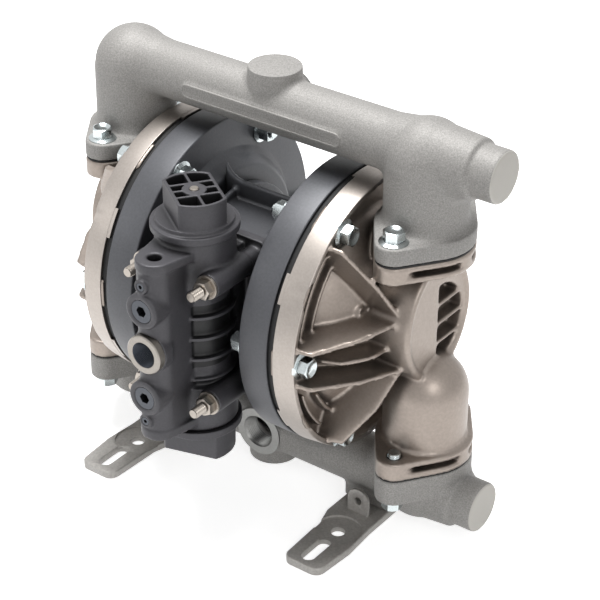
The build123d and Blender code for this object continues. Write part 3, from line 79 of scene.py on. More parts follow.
def tint(code, name, description):
    """A colour that the panel shows."""
    return FloatVectorProperty(
        name=name, description=description, subtype="COLOR", size=3, min=0, max=1, default=linear(code))


def length(millimetres, name, description):
    """A length that the panel shows, kept in metres."""
    return FloatProperty(
        name=name, description=description, unit="LENGTH", precision=5, min=0, default=millimetres * MM)


class PumpColours(bpy.types.PropertyGroup):
    """Colours of the pump's finishes."""
    sand_cast: tint("#959390", "Manifolds", "Bare sand cast aluminium of both manifolds")
    die_cast: tint("#968C84", "Fluid covers", "Bare die cast aluminium of the fluid covers")
    machined: tint("#BDBAB4", "Machined faces", "Stub ends and inner turned parts")
    rim: tint("#A39C96", "Cover rims", "Turned rims of the fluid covers")
    port_face: tint("#8C8C8A", "Port faces", "Turned faces and threads of the liquid ports")
    plug: tint("#4B4F57", "Plugs", "Blackened plugs and pilot screws of the valve")
    chamber: tint("#525357", "Air chambers", "Dark coating on the air chambers and the centre block")
    valve: tint("#444347", "Air valve", "Dark coating on the air valve")
    rubber: tint("#0B0B0C", "Rubber", "Diaphragms, gaskets and seals")
    zinc: tint("#C3CACB", "Zinc plated steel", "Hex flange bolts and nuts")
    stud: tint("#A09991", "Yellow zinc steel", "Studs and nuts of the air valve")
    nickel: tint("#8F8A84", "Nickel plated brass", "Bush of the air inlet")
    foot: tint("#ACA9A5", "Feet", "Coated cast feet")
    ball: tint("#E4E2DC", "Balls", "Fluoropolymer valve balls")


class PumpSizes(bpy.types.PropertyGroup):
    """Sizes of details that the solids do not carry."""
    cast_step: length(1.35, "Manifold mesh", "Size of the mesh cells of the manifolds and the centre block")
    cover_step: length(1.5, "Cover mesh", "Size of the mesh cells of the fluid covers")
    fine_step: length(0.95, "Valve mesh", "Size of the mesh cells of the valve body")
    cap_step: length(0.7, "Cap mesh", "Size of the mesh cells of the valve caps")
    cast_rounds: IntProperty(
        name="Casting fillets", description="Rounds of filling inside corners", min=0, default=9)
    thread_pitch: length(1.5, "Bolt pitch", "Pitch of the bolt threads")
    stud_pitch: length(1.75, "Stud pitch", "Pitch of the stud threads, drawn coarser than real")
    port_pitch: length(1.814, "Port pitch", "Pitch of the pipe threads")


# Modelling helpers

def only(piece):
    """Makes one piece the only selected and active one."""
    bpy.ops.object.select_all(action="DESELECT")
    piece.select_set(True)
    bpy.context.view_layer.objects.active = piece


def new_piece(name, mesh):
    """Puts a mesh into the scene under a name."""
    piece = bpy.data.objects.new(name, mesh)
    bpy.context.scene.collection.objects.link(piece)
    return piece


def apply_modifier(piece, kind, **settings):
    """Adds a modifier with its settings and applies it."""
    only(piece)
    modifier = piece.modifiers.new(kind.title(), kind)
    for name, value in settings.items():
        setattr(modifier, name, value)
    bpy.ops.object.modifier_apply(modifier=modifier.name)


def smooth_faces(piece, degrees=35):
    """Shades curved faces smooth and keeps edges over an angle sharp."""
    only(piece)
    bpy.ops.object.shade_smooth_by_angle(angle=math.radians(degrees))


def merged_copy(node, name):
    """Copies the mesh of a solid as a new piece with its triangles joined."""
    piece = new_piece(name, NODES[node].data.copy())
    piece.data.materials.clear()
    only(piece)
    bpy.ops.object.mode_set(mode="EDIT")
    bpy.ops.mesh.select_all(action="SELECT")
    bpy.ops.mesh.remove_doubles(threshold=0.00001)
    bpy.ops.object.mode_set(mode="OBJECT")
    return piece


def read_points(mesh, field="co"):
    """The mesh's points or normals as rows of three numbers."""
    values = np.zeros(len(mesh.vertices) * 3)
    mesh.vertices.foreach_get(field, values)
    return values.reshape(-1, 3)


def fill_corners(piece, rounds, spread, where):
    """Fills inside corners as a foundry's fillets do; even faces and outside corners keep their place."""
    mesh = piece.data
    points = read_points(mesh)
    count = len(points)
    ends = np.zeros(len(mesh.edges) * 2, int)
    mesh.edges.foreach_get("vertices", ends)
    ends = ends.reshape(-1, 2)
    here = np.concatenate([ends[:, 0], ends[:, 1]])
    there = np.concatenate([ends[:, 1], ends[:, 0]])
    neighbours = np.maximum(np.bincount(here, minlength=count), 1)

    def average(values):
        return np.bincount(here, weights=values[there], minlength=count) / neighbours

    weights = where(points / MM)
    for step in range(rounds):
        normals = read_points(mesh, "normal")
        soft = points.T
        for turn in range(spread):
            soft = np.stack([average(row) for row in soft])
        depth = average(average(((soft.T - points) * normals).sum(1)))
        push = np.clip(depth - 0.00005, 0, None) * weights
        points = points + push[:, None] * normals
        mesh.vertices.foreach_set("co", points.ravel())
        mesh.update()


def casting(node, name, cell, smoothing, rounds=0, where=None, tuck=None):
    """A cast skin of a solid: even mesh, softened edges and filled inside corners."""
    piece = merged_copy(node, name)
    apply_modifier(piece, "REMESH", mode="VOXEL", voxel_size=cell)
    apply_modifier(piece, "SMOOTH", factor=0.5, iterations=smoothing)
    if rounds:
        fill_corners(piece, rounds, 6, where)
        apply_modifier(piece, "SMOOTH", factor=0.5, iterations=2)
    if tuck:
        mesh = piece.data
        mesh.vertices.foreach_set("co", (tuck(read_points(mesh) / MM) * MM).ravel())
        mesh.update()
    smooth_faces(piece, 180)
    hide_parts(node)
    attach(piece, "pump")
    return piece


def rounded(node, name, width):
    """A copy of a solid with its flat faces whole and its edges rounded."""
    piece = merged_copy(node, name)
    bpy.ops.object.mode_set(mode="EDIT")
    bpy.ops.mesh.select_all(action="SELECT")
    bpy.ops.mesh.dissolve_limited(angle_limit=math.radians(0.5))
    bpy.ops.object.mode_set(mode="OBJECT")
    angle = math.radians(40)
    apply_modifier(piece, "BEVEL", width=width * MM, segments=2, limit_method="ANGLE", angle_limit=angle)
    smooth_faces(piece, 50)
    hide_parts(node)
    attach(piece, "pump")
    return piece


def soften(corners):
    """Rounds the corners of a profile; each corner is (radius, height) or (radius, height, rounding)."""
    points = []
    last = len(corners) - 1
    for place, corner in enumerate(corners):
        here = Vector(corner[:2])
        if len(corner) < 3 or place in (0, last):
            points.append(tuple(here))
            continue
        before = (Vector(corners[place - 1][:2]) - here).normalized()
        after = (Vector(corners[place + 1][:2]) - here).normalized()
        half = before.angle(after) / 2
        reach = corner[2] / math.tan(half)
        middle = here + (before + after).normalized() * (corner[2] / math.sin(half))
        start = here + before * reach - middle
        end = here + after * reach - middle
        for step in range(5):
            arm = (start * (1 - step / 4) + end * (step / 4)).normalized() * corner[2]
            points.append(tuple(middle + arm))
    return points


def turned(name, profile, sides=48, ring=False, hexagon=None):
    """Turns a profile of (radius, height) in millimetres about Z.

    A circle is extruded and resized from point to point. A hexagon is the (low, high, chamfer radius) of
    a hexagonal part.
    """
    bpy.ops.object.select_all(action="DESELECT")
    points = [(max(radius, 0.0004), height) for radius, height in profile]
    radius, height = points[0]
    bpy.ops.mesh.primitive_circle_add(vertices=sides, radius=radius * MM, location=(0, 0, height * MM))
    piece = bpy.context.active_object
    piece.name = name
    bpy.ops.object.transform_apply()
    bpy.ops.object.mode_set(mode="EDIT")
    bpy.ops.mesh.select_all(action="SELECT")
    for next_radius, next_height in points[1:]:
        rise = (next_height - height) * MM
        bpy.ops.mesh.extrude_region_move(TRANSFORM_OT_translate={"value": (0, 0, rise)})
        share = next_radius / radius
        bpy.ops.transform.resize(value=(share, share, 1), center_override=(0, 0, next_height * MM))
        radius, height = next_radius, next_height
    bpy.ops.mesh.select_all(action="DESELECT")
    if ring:
        bpy.ops.mesh.select_non_manifold()
        bpy.ops.mesh.bridge_edge_loops()
    bpy.ops.mesh.select_all(action="SELECT")
    bpy.ops.mesh.remove_doubles(threshold=0.000001)
    bpy.ops.mesh.normals_make_consistent(inside=False)
    bpy.ops.object.mode_set(mode="OBJECT")
    if hexagon:
        low, high, chamfer = hexagon
        for point in piece.data.vertices:
            radius = math.hypot(point.co.x, point.co.y) / MM
            height = point.co.z / MM
            if low - 0.01 <= height <= high + 0.01 and radius > chamfer + 0.2:
                swing = math.degrees(math.atan2(point.co.y, point.co.x)) % 60 - 30
                share = math.cos(math.radians(30)) / math.cos(math.radians(swing))
                point.co.x *= share
                point.co.y *= share
                if height > high - 0.01:
                    point.co.z -= (radius * share - chamfer) * 0.55 * MM
    smooth_faces(piece, 32)
    return piece


def thread(radius, start, end, pitch, depth):
    """Profile points of a thread between two heights."""
    steps = max(2, round(abs(end - start) / pitch))
    rise = (end - start) / steps
    points = []
    for step in range(steps):
        points.append((radius - depth, start + rise * step))
        points.append((radius, start + rise * (step + 0.5)))
    points.append((radius - depth, end))
    return points


def place_copies(pattern, name, spots, nodes, material):
    """Copies one modelled piece to its spots, joins the copies and lets them stand for the solids."""
    copies = []
    for number, spot in enumerate(spots):
        mesh = pattern.data.copy()
        mesh.transform(spot)
        copies.append(new_piece(f"{name}_{number}", mesh))
    bpy.ops.object.select_all(action="DESELECT")
    for copy in copies:
        copy.select_set(True)
    bpy.context.view_layer.objects.active = copies[0]
    if len(copies) > 1:
        bpy.ops.object.join()
    group = copies[0]
    group.name = name
    group.data.materials.clear()
    group.data.materials.append(material)
    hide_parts(*nodes)
    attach(group, "pump")
    return group


def spot(x, y, z, towards, turn=0.0):
    """Place of a piece modelled along +Z: its seat in millimetres and the way it points."""
    aim = Vector(towards).to_track_quat("Z", "Y").to_matrix().to_4x4()
    return Matrix.Translation(Vector((x, y, z)) * MM) @ aim @ Matrix.Rotation(math.radians(turn), 4, "Z")


def drop(piece):
    """Removes a pattern piece once its copies stand."""
    bpy.data.objects.remove(piece)


# Materials

def add(tree, kind, inputs=None, **settings):
    """Adds a node with its settings; an input is a value or another node's output."""
    node = tree.nodes.new(kind)
    for name, value in settings.items():
        setattr(node, name, value)
    for name, value in (inputs or {}).items():
        if isinstance(value, bpy.types.NodeSocket):
            tree.links.new(value, node.inputs[name])
        else:
            node.inputs[name].default_value = value
    return node


def per(millimetres):
    """Noise scale for a feature of a real size, on coordinates in metres."""
    return 1000.0 / millimetres


def shade(colour, factor):
    """A colour made lighter or darker, for a shader's colour input."""
    return tuple(min(1.0, part * factor) for part in colour) + (1.0,)


def begin(name):
    """A new material's tree, its shader and object coordinates."""
    material = bpy.data.materials.new(name)
    material.use_nodes = True
    tree = material.node_tree
    shader = tree.nodes["Principled BSDF"]
    place = add(tree, "ShaderNodeTexCoord").outputs["Object"]
    return material, tree, shader, place


def mottled(tree, place, colour, spread, patch_mm, grain_mm, grain_spread):
    """Base colour with broad patches and fine grain around one tone."""
    patch = add(tree, "ShaderNodeTexNoise", {"Vector": place, "Scale": per(patch_mm), "Detail": 3.0})
    patches = add(tree, "ShaderNodeMix", {
        "Factor": patch.outputs["Fac"],
        "A": shade(colour, 1 - spread),
        "B": shade(colour, 1 + spread),
    }, data_type="RGBA")
    grain = add(tree, "ShaderNodeTexNoise", {"Vector": place, "Scale": per(grain_mm), "Detail": 2.0})
    level = add(tree, "ShaderNodeMapRange", {
        "Value": grain.outputs["Fac"],
        "From Min": 0.3,
        "From Max": 0.7,
        "To Min": 1 - grain_spread,
        "To Max": 1 + grain_spread,
    })
    return add(tree, "ShaderNodeMix", {
        "Factor": 1.0,
        "A": patches.outputs["Result"],
        "B": level.outputs["Result"],
    }, data_type="RGBA", blend_type="MULTIPLY").outputs["Result"]


def relief(tree, shader, place, grain_mm, depth_mm, strength=1.0):
    """Bump from grain of a real size and depth."""
    grain = add(tree, "ShaderNodeTexNoise", {
        "Vector": place,
        "Scale": per(grain_mm),
        "Detail": 2.5,
        "Roughness": 0.6,
    })
    bump = add(tree, "ShaderNodeBump", {
        "Height": grain.outputs["Fac"],
        "Distance": depth_mm * MM,
        "Strength": strength,
    })
    tree.links.new(bump.outputs["Normal"], shader.inputs["Normal"])


def shadowed(tree, tone, reach_mm, low, open_from=0.65):
    """Darkens a tone where the surface is closed in.

    This is drawn shade and no property of the metal: gaps and corners look lighter than the real ones
    under the studio light alone.
    """
    open_sky = add(tree, "ShaderNodeAmbientOcclusion", {"Distance": reach_mm * MM}, samples=8)
    level = add(tree, "ShaderNodeMapRange", {
        "Value": open_sky.outputs["AO"],
        "From Min": open_from - 0.5,
        "From Max": open_from,
        "To Min": low,
        "To Max": 1.0,
    })
    return add(tree, "ShaderNodeMix", {
        "Factor": 1.0,
        "A": tone,
        "B": level.outputs["Result"],
    }, data_type="RGBA", blend_type="MULTIPLY").outputs["Result"]


def sand_cast_aluminium(colours):
    """Sand cast aluminium: the mould's grain scatters light, so it looks matt and speckled.

    The stub ends are machined. The grain is drawn about as coarse as it can be told in a render.
    """
    material, tree, shader, place = begin("sand_cast_aluminium")
    cast = mottled(tree, place, colours.sand_cast, 0.03, 22, 1.0, 0.2)
    split = add(tree, "ShaderNodeSeparateXYZ", {"Vector": place})
    end_face = add(tree, "ShaderNodeMath", {
        0: split.outputs["X"],
        1: STUB_FACE_X * MM,
    }, operation="GREATER_THAN")
    tone = add(tree, "ShaderNodeMix", {
        "Factor": end_face.outputs[0],
        "A": cast,
        "B": shade(colours.machined, 1.0),
    }, data_type="RGBA")
    tree.links.new(tone.outputs["Result"], shader.inputs["Base Color"])
    shader.inputs["Metallic"].default_value = 0.3
    shader.inputs["Roughness"].default_value = 0.62
    relief(tree, shader, place, 1.1, 0.2, 0.8)
    return material


def die_cast_aluminium(colours):
    """Die cast aluminium: smoother than sand casting and slightly warm."""
    material, tree, shader, place = begin("die_cast_aluminium")
    cast = mottled(tree, place, colours.die_cast, 0.10, 30, 2.2, 0.06)
    tree.links.new(shadowed(tree, cast, 16, 0.35, 0.7), shader.inputs["Base Color"])
    shader.inputs["Metallic"].default_value = 0.75
    shader.inputs["Roughness"].default_value = 0.40
    relief(tree, shader, place, 3.0, 0.12, 0.6)
    return material


def fin_gaps(tree, place, tone, colour):
    """Darkens the wall between the valve's fins by its place.

    This is drawn shade, not a finish: the photo shows the gaps nearly black, and the modelled ones are
    too shallow for that.
    """
    wall_r = 26.2
    fin_r = 27.2
    half_height = 26.0
    flat = add(tree, "ShaderNodeVectorMath", {0: place, 1: (1, 1, 0)}, operation="MULTIPLY")
    away = add(tree, "ShaderNodeVectorMath", {
        0: flat.outputs["Vector"],
        1: (0, SPOOL_Y * MM, 0),
    }, operation="DISTANCE")
    height = add(tree, "ShaderNodeSeparateXYZ", {"Vector": place})
    wall = add(tree, "ShaderNodeMapRange", {
        "Value": away.outputs["Value"],
        "From Min": wall_r * MM,
        "From Max": fin_r * MM,
        "To Min": 1.0,
        "To Max": 0.0,
    })
    band = add(tree, "ShaderNodeMath", {
        0: height.outputs["Z"],
        1: ROD_HEIGHT * MM,
        2: half_height * MM,
    }, operation="COMPARE")
    gap = add(tree, "ShaderNodeMath", {0: wall.outputs["Result"], 1: band.outputs[0]}, operation="MULTIPLY")
    return add(tree, "ShaderNodeMix", {
        "Factor": gap.outputs[0],
        "A": tone,
        "B": shade(colour, 0.12),
    }, data_type="RGBA").outputs["Result"]


def dark_coating(name, colour, roughness, gaps=False):
    """Dark coated metal: a thin satin coat that keeps a little of the grain under it."""
    material, tree, shader, place = begin(name)
    tone = mottled(tree, place, colour, 0.07, 26, 1.8, 0.08)
    if gaps:
        tone = fin_gaps(tree, place, tone, colour)
    tree.links.new(shadowed(tree, tone, 22, 0.12, 0.86), shader.inputs["Base Color"])
    shader.inputs["Metallic"].default_value = 0.25
    shader.inputs["Roughness"].default_value = roughness
    relief(tree, shader, place, 1.6, 0.10, 0.6)
    return material


def moulded_rubber(colours):
    """Moulded rubber: near black, with a dull sheen."""
    material, tree, shader, place = begin("moulded_rubber")
    tone = mottled(tree, place, colours.rubber, 0.10, 15, 2.0, 0.10)
    tree.links.new(tone, shader.inputs["Base Color"])
    shader.inputs["Roughness"].default_value = 0.65
    relief(tree, shader, place, 2.0, 0.05, 0.5)
    return material


def plated_steel(name, colour, roughness):
    """Plated or turned metal: smooth and bright, with faint marks."""
    material, tree, shader, place = begin(name)
    tone = mottled(tree, place, colour, 0.06, 6, 1.6, 0.05)
    tree.links.new(shadowed(tree, tone, 12, 0.12), shader.inputs["Base Color"])
    shader.inputs["Metallic"].default_value = 1.0
    shader.inputs["Roughness"].default_value = roughness
    relief(tree, shader, place, 2.5, 0.05, 0.4)
    return material


def plated_bush(colours):
    """Nickel plated brass bush: a bright turned collar.

    Its bore is coloured near black by its place. That is drawn shade, not a finish: the photo shows a
    dark bore, and the modelled one is lit too well.
    """
    bore_r = 10.1
    material, tree, shader, place = begin("nickel_plated_bush")
    tone = mottled(tree, place, colours.nickel, 0.06, 6, 1.6, 0.05)
    flat = add(tree, "ShaderNodeVectorMath", {0: place, 1: (1, 0, 1)}, operation="MULTIPLY")
    away = add(tree, "ShaderNodeVectorMath", {
        0: flat.outputs["Vector"],
        1: (0, 0, ROD_HEIGHT * MM),
    }, operation="DISTANCE")
    bore = add(tree, "ShaderNodeMath", {0: away.outputs["Value"], 1: bore_r * MM}, operation="LESS_THAN")
    dark_bore = add(tree, "ShaderNodeMix", {
        "Factor": bore.outputs[0],
        "A": tone,
        "B": shade(colours.plug, 0.5),
    }, data_type="RGBA")
    tree.links.new(dark_bore.outputs["Result"], shader.inputs["Base Color"])
    shader.inputs["Metallic"].default_value = 1.0
    shader.inputs["Roughness"].default_value = 0.36
    relief(tree, shader, place, 2.5, 0.05, 0.4)
    return material


def coated_foot(colours):
    """Coated cast foot: satin grey with grain from the mould."""
    material, tree, shader, place = begin("coated_cast_foot")
    tone = mottled(tree, place, colours.foot, 0.08, 18, 1.7, 0.12)
    tree.links.new(tone, shader.inputs["Base Color"])
    shader.inputs["Metallic"].default_value = 0.4
    shader.inputs["Roughness"].default_value = 0.5
    relief(tree, shader, place, 1.5, 0.15, 0.7)
    return material


def ball_plastic(colours):
    """Fluoropolymer ball: turned, waxy and off-white."""
    material, tree, shader, place = begin("turned_fluoropolymer")
    tone = mottled(tree, place, colours.ball, 0.02, 8, 1.5, 0.02)
    tree.links.new(tone, shader.inputs["Base Color"])
    shader.inputs["Roughness"].default_value = 0.35
    return material


MADE = {}


def finish(name):
    """The named finish, made once."""
    colours = bpy.context.scene.pump_colours
    makers = {
        "sand_cast": lambda: sand_cast_aluminium(colours),
        "die_cast": lambda: die_cast_aluminium(colours),
        "chamber": lambda: dark_coating("dark_coated_die_casting", colours.chamber, 0.42),
        "valve": lambda: dark_coating("dark_coated_valve_casting", colours.valve, 0.48, True),
        "rubber": lambda: moulded_rubber(colours),
        "zinc": lambda: plated_steel("zinc_plated_steel", colours.zinc, 0.22),
        "stud": lambda: plated_steel("yellow_zinc_plated_steel", colours.stud, 0.30),
        "nickel": lambda: plated_bush(colours),
        "machined": lambda: plated_steel("turned_aluminium", colours.machined, 0.32),
        "rim": lambda: plated_steel("turned_die_cast_rim", colours.rim, 0.42),
        "port_face": lambda: plated_steel("turned_port_face", colours.port_face, 0.38),
        "plug": lambda: dark_coating("blackened_steel", colours.plug, 0.4),
        "foot": lambda: coated_foot(colours),
        "ball": lambda: ball_plastic(colours),
    }
    if name not in MADE:
        MADE[name] = makers[name]()
    return MADE[name]


def paint(piece, name):
    """Gives a piece one finish."""
    piece.data.materials.clear()
    piece.data.materials.append(finish(name))


# Pieces

def manifold_weight(axis_z, reach, away, port_side):
    """Weight of a point for fillets: the skin of elbows and legs, a little at the boss, none at the port."""
    bore_skin_r, leg_bore_r, leg_r = 19.0, 24.0, 28.5
    elbow_end, elbow_fade = 66.0, 8.0
    stub_start, stub_end = 174.0, 180.0
    boss_share, boss_r, boss_low, boss_high = 0.25, 32.0, 8.0, 25.0
    port_r, port_start = 21.5, 14.0

    def weight(points):
        x, y, z = points.T
        from_pipe = np.hypot(y, z - axis_z)
        in_leg = np.hypot(np.abs(x) - reach, y) < leg_r
        inside = (from_pipe < bore_skin_r) | (in_leg & (from_pipe < leg_bore_r))
        elbows = np.clip((elbow_end - np.abs(np.abs(x) - reach)) / elbow_fade, 0, 1)
        stub = (x > stub_start) & (x < stub_end)
        past_boss = away * (z - axis_z)
        near_boss = (np.hypot(x, y) < boss_r) & (past_boss > boss_low) & (past_boss < boss_high)
        boss = boss_share * near_boss
        port = (np.hypot(x, z - axis_z) < port_r) & (port_side * y > port_start)
        return np.where(inside | port | stub, 0.0, np.maximum(elbows, boss))
    return weight


def manifold_tuck(axis_z, away, port_side):
    """Draws the port's face, its bore and the boss back under the turned pieces that finish them."""
    bore_r, bore_start, bore_step = 13.6, 7.0, 2.0
    face_r, face_start, face_step = 21.4, 21.0, 0.8
    boss_r, boss_core_r, boss_start, boss_top, boss_step = 21.5, 14.0, 24.0, 29.0, 0.7

    def tuck(points):
        x, y, z = points.T
        from_port = np.hypot(x, z - axis_z)
        bore = (from_port < bore_r) & (port_side * y > bore_start)
        share = np.where(bore, 1 + bore_step / np.maximum(from_port, 1), 1.0)
        x *= share
        z[:] = axis_z + (z - axis_z) * share
        near = (from_port < face_r) & (port_side * y > face_start)
        y[near] -= port_side * face_step
        from_boss = np.hypot(x, y)
        past = away * (z - axis_z)
        boss = (from_boss < boss_r) & (past > boss_start)
        share = np.where(boss & (from_boss > boss_core_r), 1 - boss_step / np.maximum(from_boss, 1), 1.0)
        x *= share
        y *= share
        top = boss & (past > boss_top)
        z[top] -= away * boss_step
        return points
    return tuck


def pad_plate():
    """The raised strip along the front of the upper pipe: a flat face with a low border, left bare."""
    bpy.ops.object.select_all(action="DESELECT")
    bpy.ops.mesh.primitive_plane_add(size=2 * MM, location=(0, 0, 0))
    piece = bpy.context.active_object
    piece.name = "pad_plate"
    for point in piece.data.vertices:
        point.co.x = PAD_HALF * MM * math.copysign(1, point.co.x)
        point.co.y = PAD_HALF_HEIGHT * MM * math.copysign(1, point.co.y)
    bpy.ops.object.mode_set(mode="EDIT")
    bpy.ops.mesh.select_all(action="SELECT")
    bpy.ops.mesh.bevel(offset=5.0 * MM, segments=6, affect="VERTICES")
    bpy.ops.mesh.extrude_region_move(TRANSFORM_OT_translate={"value": (0, 0, 6.0 * MM)})
    bpy.ops.mesh.bevel(offset=0.5 * MM, segments=2)
    bpy.ops.mesh.select_all(action="DESELECT")
    bpy.ops.object.mode_set(mode="OBJECT")
    for face in piece.data.polygons:
        face.select = face.normal.z > 0.99 and face.area > 0.0005
    bpy.ops.object.mode_set(mode="EDIT")
    bpy.ops.mesh.inset(thickness=0.9 * MM)
    bpy.ops.mesh.inset(thickness=0.3 * MM, depth=-0.4 * MM)
    bpy.ops.mesh.select_all(action="SELECT")
    bpy.ops.mesh.normals_make_consistent(inside=False)
    bpy.ops.object.mode_set(mode="OBJECT")
    smooth_faces(piece, 30)
    return piece


class PUMP_OT_manifolds(bpy.types.Operator):
    """Casts the upper and lower manifolds and turns their threaded ports"""
    bl_idname = "pump.manifolds"
    bl_label = "Manifolds"

    def execute(self, context):
        sizes = context.scene.pump_sizes
        pitch = sizes.port_pitch / MM
        port_shell = [
            (13.9, 0), (20.3, 0), (20.6, -0.4), (20.6, -2.0), (14.2, -2.0), (14.2, -14.6), (12.1, -14.6)]
        ring = turned("port_ring", port_shell + thread(12.1, -14.0, -1.4, pitch, -0.95), 96, True)
        boss_side = soften([(0, 30.0), (20.0, 30.0, 0.7), (20.35, 22.0), (20.6, 16.0), (17.0, 16.0)])
        boss = turned("boss", boss_side, 96)
        for node, axis_z, reach, away, port_side in (
                ("upper_manifold", UPPER_AXIS_Z, UPPER_LEG_X, 1, 1),
                ("lower_manifold", LOWER_AXIS_Z, LOWER_LEG_X, -1, -1)):
            where = manifold_weight(axis_z, reach, away, port_side)
            tuck = manifold_tuck(axis_z, away, port_side)
            piece = casting(node, f"{node}_casting", sizes.cast_step, 2, sizes.cast_rounds, where, tuck)
            paint(piece, "sand_cast")
            face = spot(0, port_side * PORT_FACE_Y, axis_z, (0, port_side, 0))
            port = place_copies(ring, f"{node}_port_ring", [face], [node], finish("port_face"))
            top = spot(0, 0, axis_z, (0, 0, away))
            knob = place_copies(boss, f"{node}_boss", [top], [node], finish("sand_cast"))
        drop(ring)
        drop(boss)
        pad = pad_plate()
        upright = Matrix.Rotation(math.radians(90), 4, "X")
        place = Matrix.Translation(Vector((2.0, -17.2, UPPER_AXIS_Z - 0.9)) * MM) @ upright
        strip = place_copies(pad, "upper_manifold_pad", [place], ["upper_manifold"], finish("sand_cast"))
        drop(pad)
        return {"FINISHED"}


def cover_tuck(sign):
    """Draws the cover's edge back under its turned rim."""
    rim_core_r, rim_end_x, face_x, back_x = 103.9, 98.4, 96.2, 81.5
    side_step, face_step = 0.7, 0.6

    def tuck(points):
        x, y, z = points.T
        rise = z - ROD_HEIGHT
        radius = np.hypot(y, rise)
        rim = (radius > rim_core_r) & (np.abs(x) < rim_end_x)
        share = np.where(rim, 1 - side_step / np.maximum(radius, 1), 1.0)
        face = rim & (np.abs(x) > face_x)
        x[face] -= sign * face_step
        back = rim & (np.abs(x) < back_x)
        x[back] += sign * face_step
        return np.stack([x, y * share, ROD_HEIGHT + rise * share], 1)
    return tuck


def cover_rim():
    """The turned rim of a fluid cover, modelled along +Z from its joint face, with a tab at each bolt."""
    tab_half_width = 11
    spot_r = 11.6
    profile = soften([
        (104.7, 1.0), (104.7, 17.5, 0.4), (108.4, 17.5, 0.6), (RIM_R, 0.0, 0.4), (107.7, 0.0), (105.0, 0.0)])
    piece = turned("cover_rim", profile, 360, True)
    mesh = piece.data
    bolts = [Vector((BOLT_CIRCLE_R * math.cos(turn), BOLT_CIRCLE_R * math.sin(turn), 0)) for turn in SIXTHS]
    only(piece)
    bpy.ops.object.mode_set(mode="EDIT")
    bpy.ops.mesh.select_all(action="DESELECT")
    work = bmesh.from_edit_mesh(mesh)
    for face in work.faces:
        centre = face.calc_center_median() / MM
        radius = math.hypot(centre.x, centre.y)
        swing = (math.degrees(math.atan2(centre.y, centre.x)) + 30) % 60 - 30
        beside_bolt = abs(math.radians(swing)) * RIM_R < tab_half_width
        face.select_set(centre.z < 0.05 and radius > 107.8 and beside_bolt)
    bmesh.update_edit_mesh(mesh)
    bpy.ops.mesh.extrude_region_move(TRANSFORM_OT_translate={"value": (0, 0, -2.8 * MM)})
    bpy.ops.object.mode_set(mode="OBJECT")
    for point in mesh.vertices:
        if point.co.z > 16.2 * MM and min((point.co.xy / MM - bolt.xy).length for bolt in bolts) < spot_r:
            point.co.z = min(point.co.z, 16.5 * MM)
    mesh.update()
    smooth_faces(piece, 30)
    return piece


class PUMP_OT_fluid_covers(bpy.types.Operator):
    """Casts the ribbed fluid covers"""
    bl_idname = "pump.fluid_covers"
    bl_label = "Fluid covers"

    def execute(self, context):
        sizes = context.scene.pump_sizes
        rim = cover_rim()
        for side, sign in (("right", 1), ("left", -1)):
            node = f"fluid_cover_{side}"
            piece = casting(node, f"{node}_casting", sizes.cover_step, 2, tuck=cover_tuck(sign))
            paint(piece, "die_cast")
            place = spot(sign * RIM_BACK_X, 0, ROD_HEIGHT, (sign, 0, 0), 90)
            place_copies(rim, f"{node}_rim", [place], [node], finish("rim"))
        drop(rim)
        return {"FINISHED"}


class PUMP_OT_air_side(bpy.types.Operator):
    """Finishes the air chambers and the centre block"""
    bl_idname = "pump.air_side"
    bl_label = "Air chambers"

    def execute(self, context):
        sizes = context.scene.pump_sizes
        outline = soften([
            (30.0, 0.0), (72.0, 0.0, 4.0), (79.0, 8.5, 6.0), (84.0, 12.0, 3.0),
            (RIM_R, 12.0, 1.4), (RIM_R, 37.0, 1.2), (90.5, 37.0, 0.5), (60.0, 6.0, 2.0), (30.0, 6.0)])
        chamber = turned("air_chamber", outline, 256, True)
        for side, sign in (("right", 1), ("left", -1)):
            node = f"air_chamber_{side}"
            place = spot(sign * CHAMBER_FACE_X, 0, ROD_HEIGHT, (sign, 0, 0))
            shell = place_copies(chamber, f"{node}_casting", [place], [node], finish("chamber"))
        drop(chamber)
        block = casting("center_block", "center_block_casting", sizes.cast_step, 2)
        paint(block, "chamber")
        return {"FINISHED"}


def valve_weight(points):
    """Weight of a point for the valve's fillets; the roots of the cooling fins stay sharp."""
    x, y, z = points.T
    fins = (np.abs(z - ROD_HEIGHT) < 28) & (np.hypot(x, y - SPOOL_Y) < 31)
    return np.where(fins, 0.0, 0.7)


class PUMP_OT_air_valve(bpy.types.Operator):
    """Casts the air valve and its caps"""
    bl_idname = "pump.air_valve"
    bl_label = "Air valve"

    def execute(self, context):
        sizes = context.scene.pump_sizes
        body = casting("valve_body", "valve_body_casting", sizes.fine_step, 2, 3, valve_weight)
        paint(body, "valve")
        plate = soften([(17.0, -1.2), (28.6, -1.2, 0.4), (28.6, 1.2, 0.4), (17.0, 1.2)])
        fin = turned("fin", plate, 96, True)
        fins = [spot(0, SPOOL_Y, ROD_HEIGHT + step * FIN_PITCH, (0, 0, 1)) for step in (-1, 0, 1)]
        place_copies(fin, "valve_body_fins", fins, ["valve_body"], finish("valve"))
        drop(fin)
        for place in ("top", "bottom"):
            cap = casting(f"valve_cap_{place}", f"valve_cap_{place}_moulding", sizes.cap_step, 2)
            paint(cap, "valve")
        return {"FINISHED"}


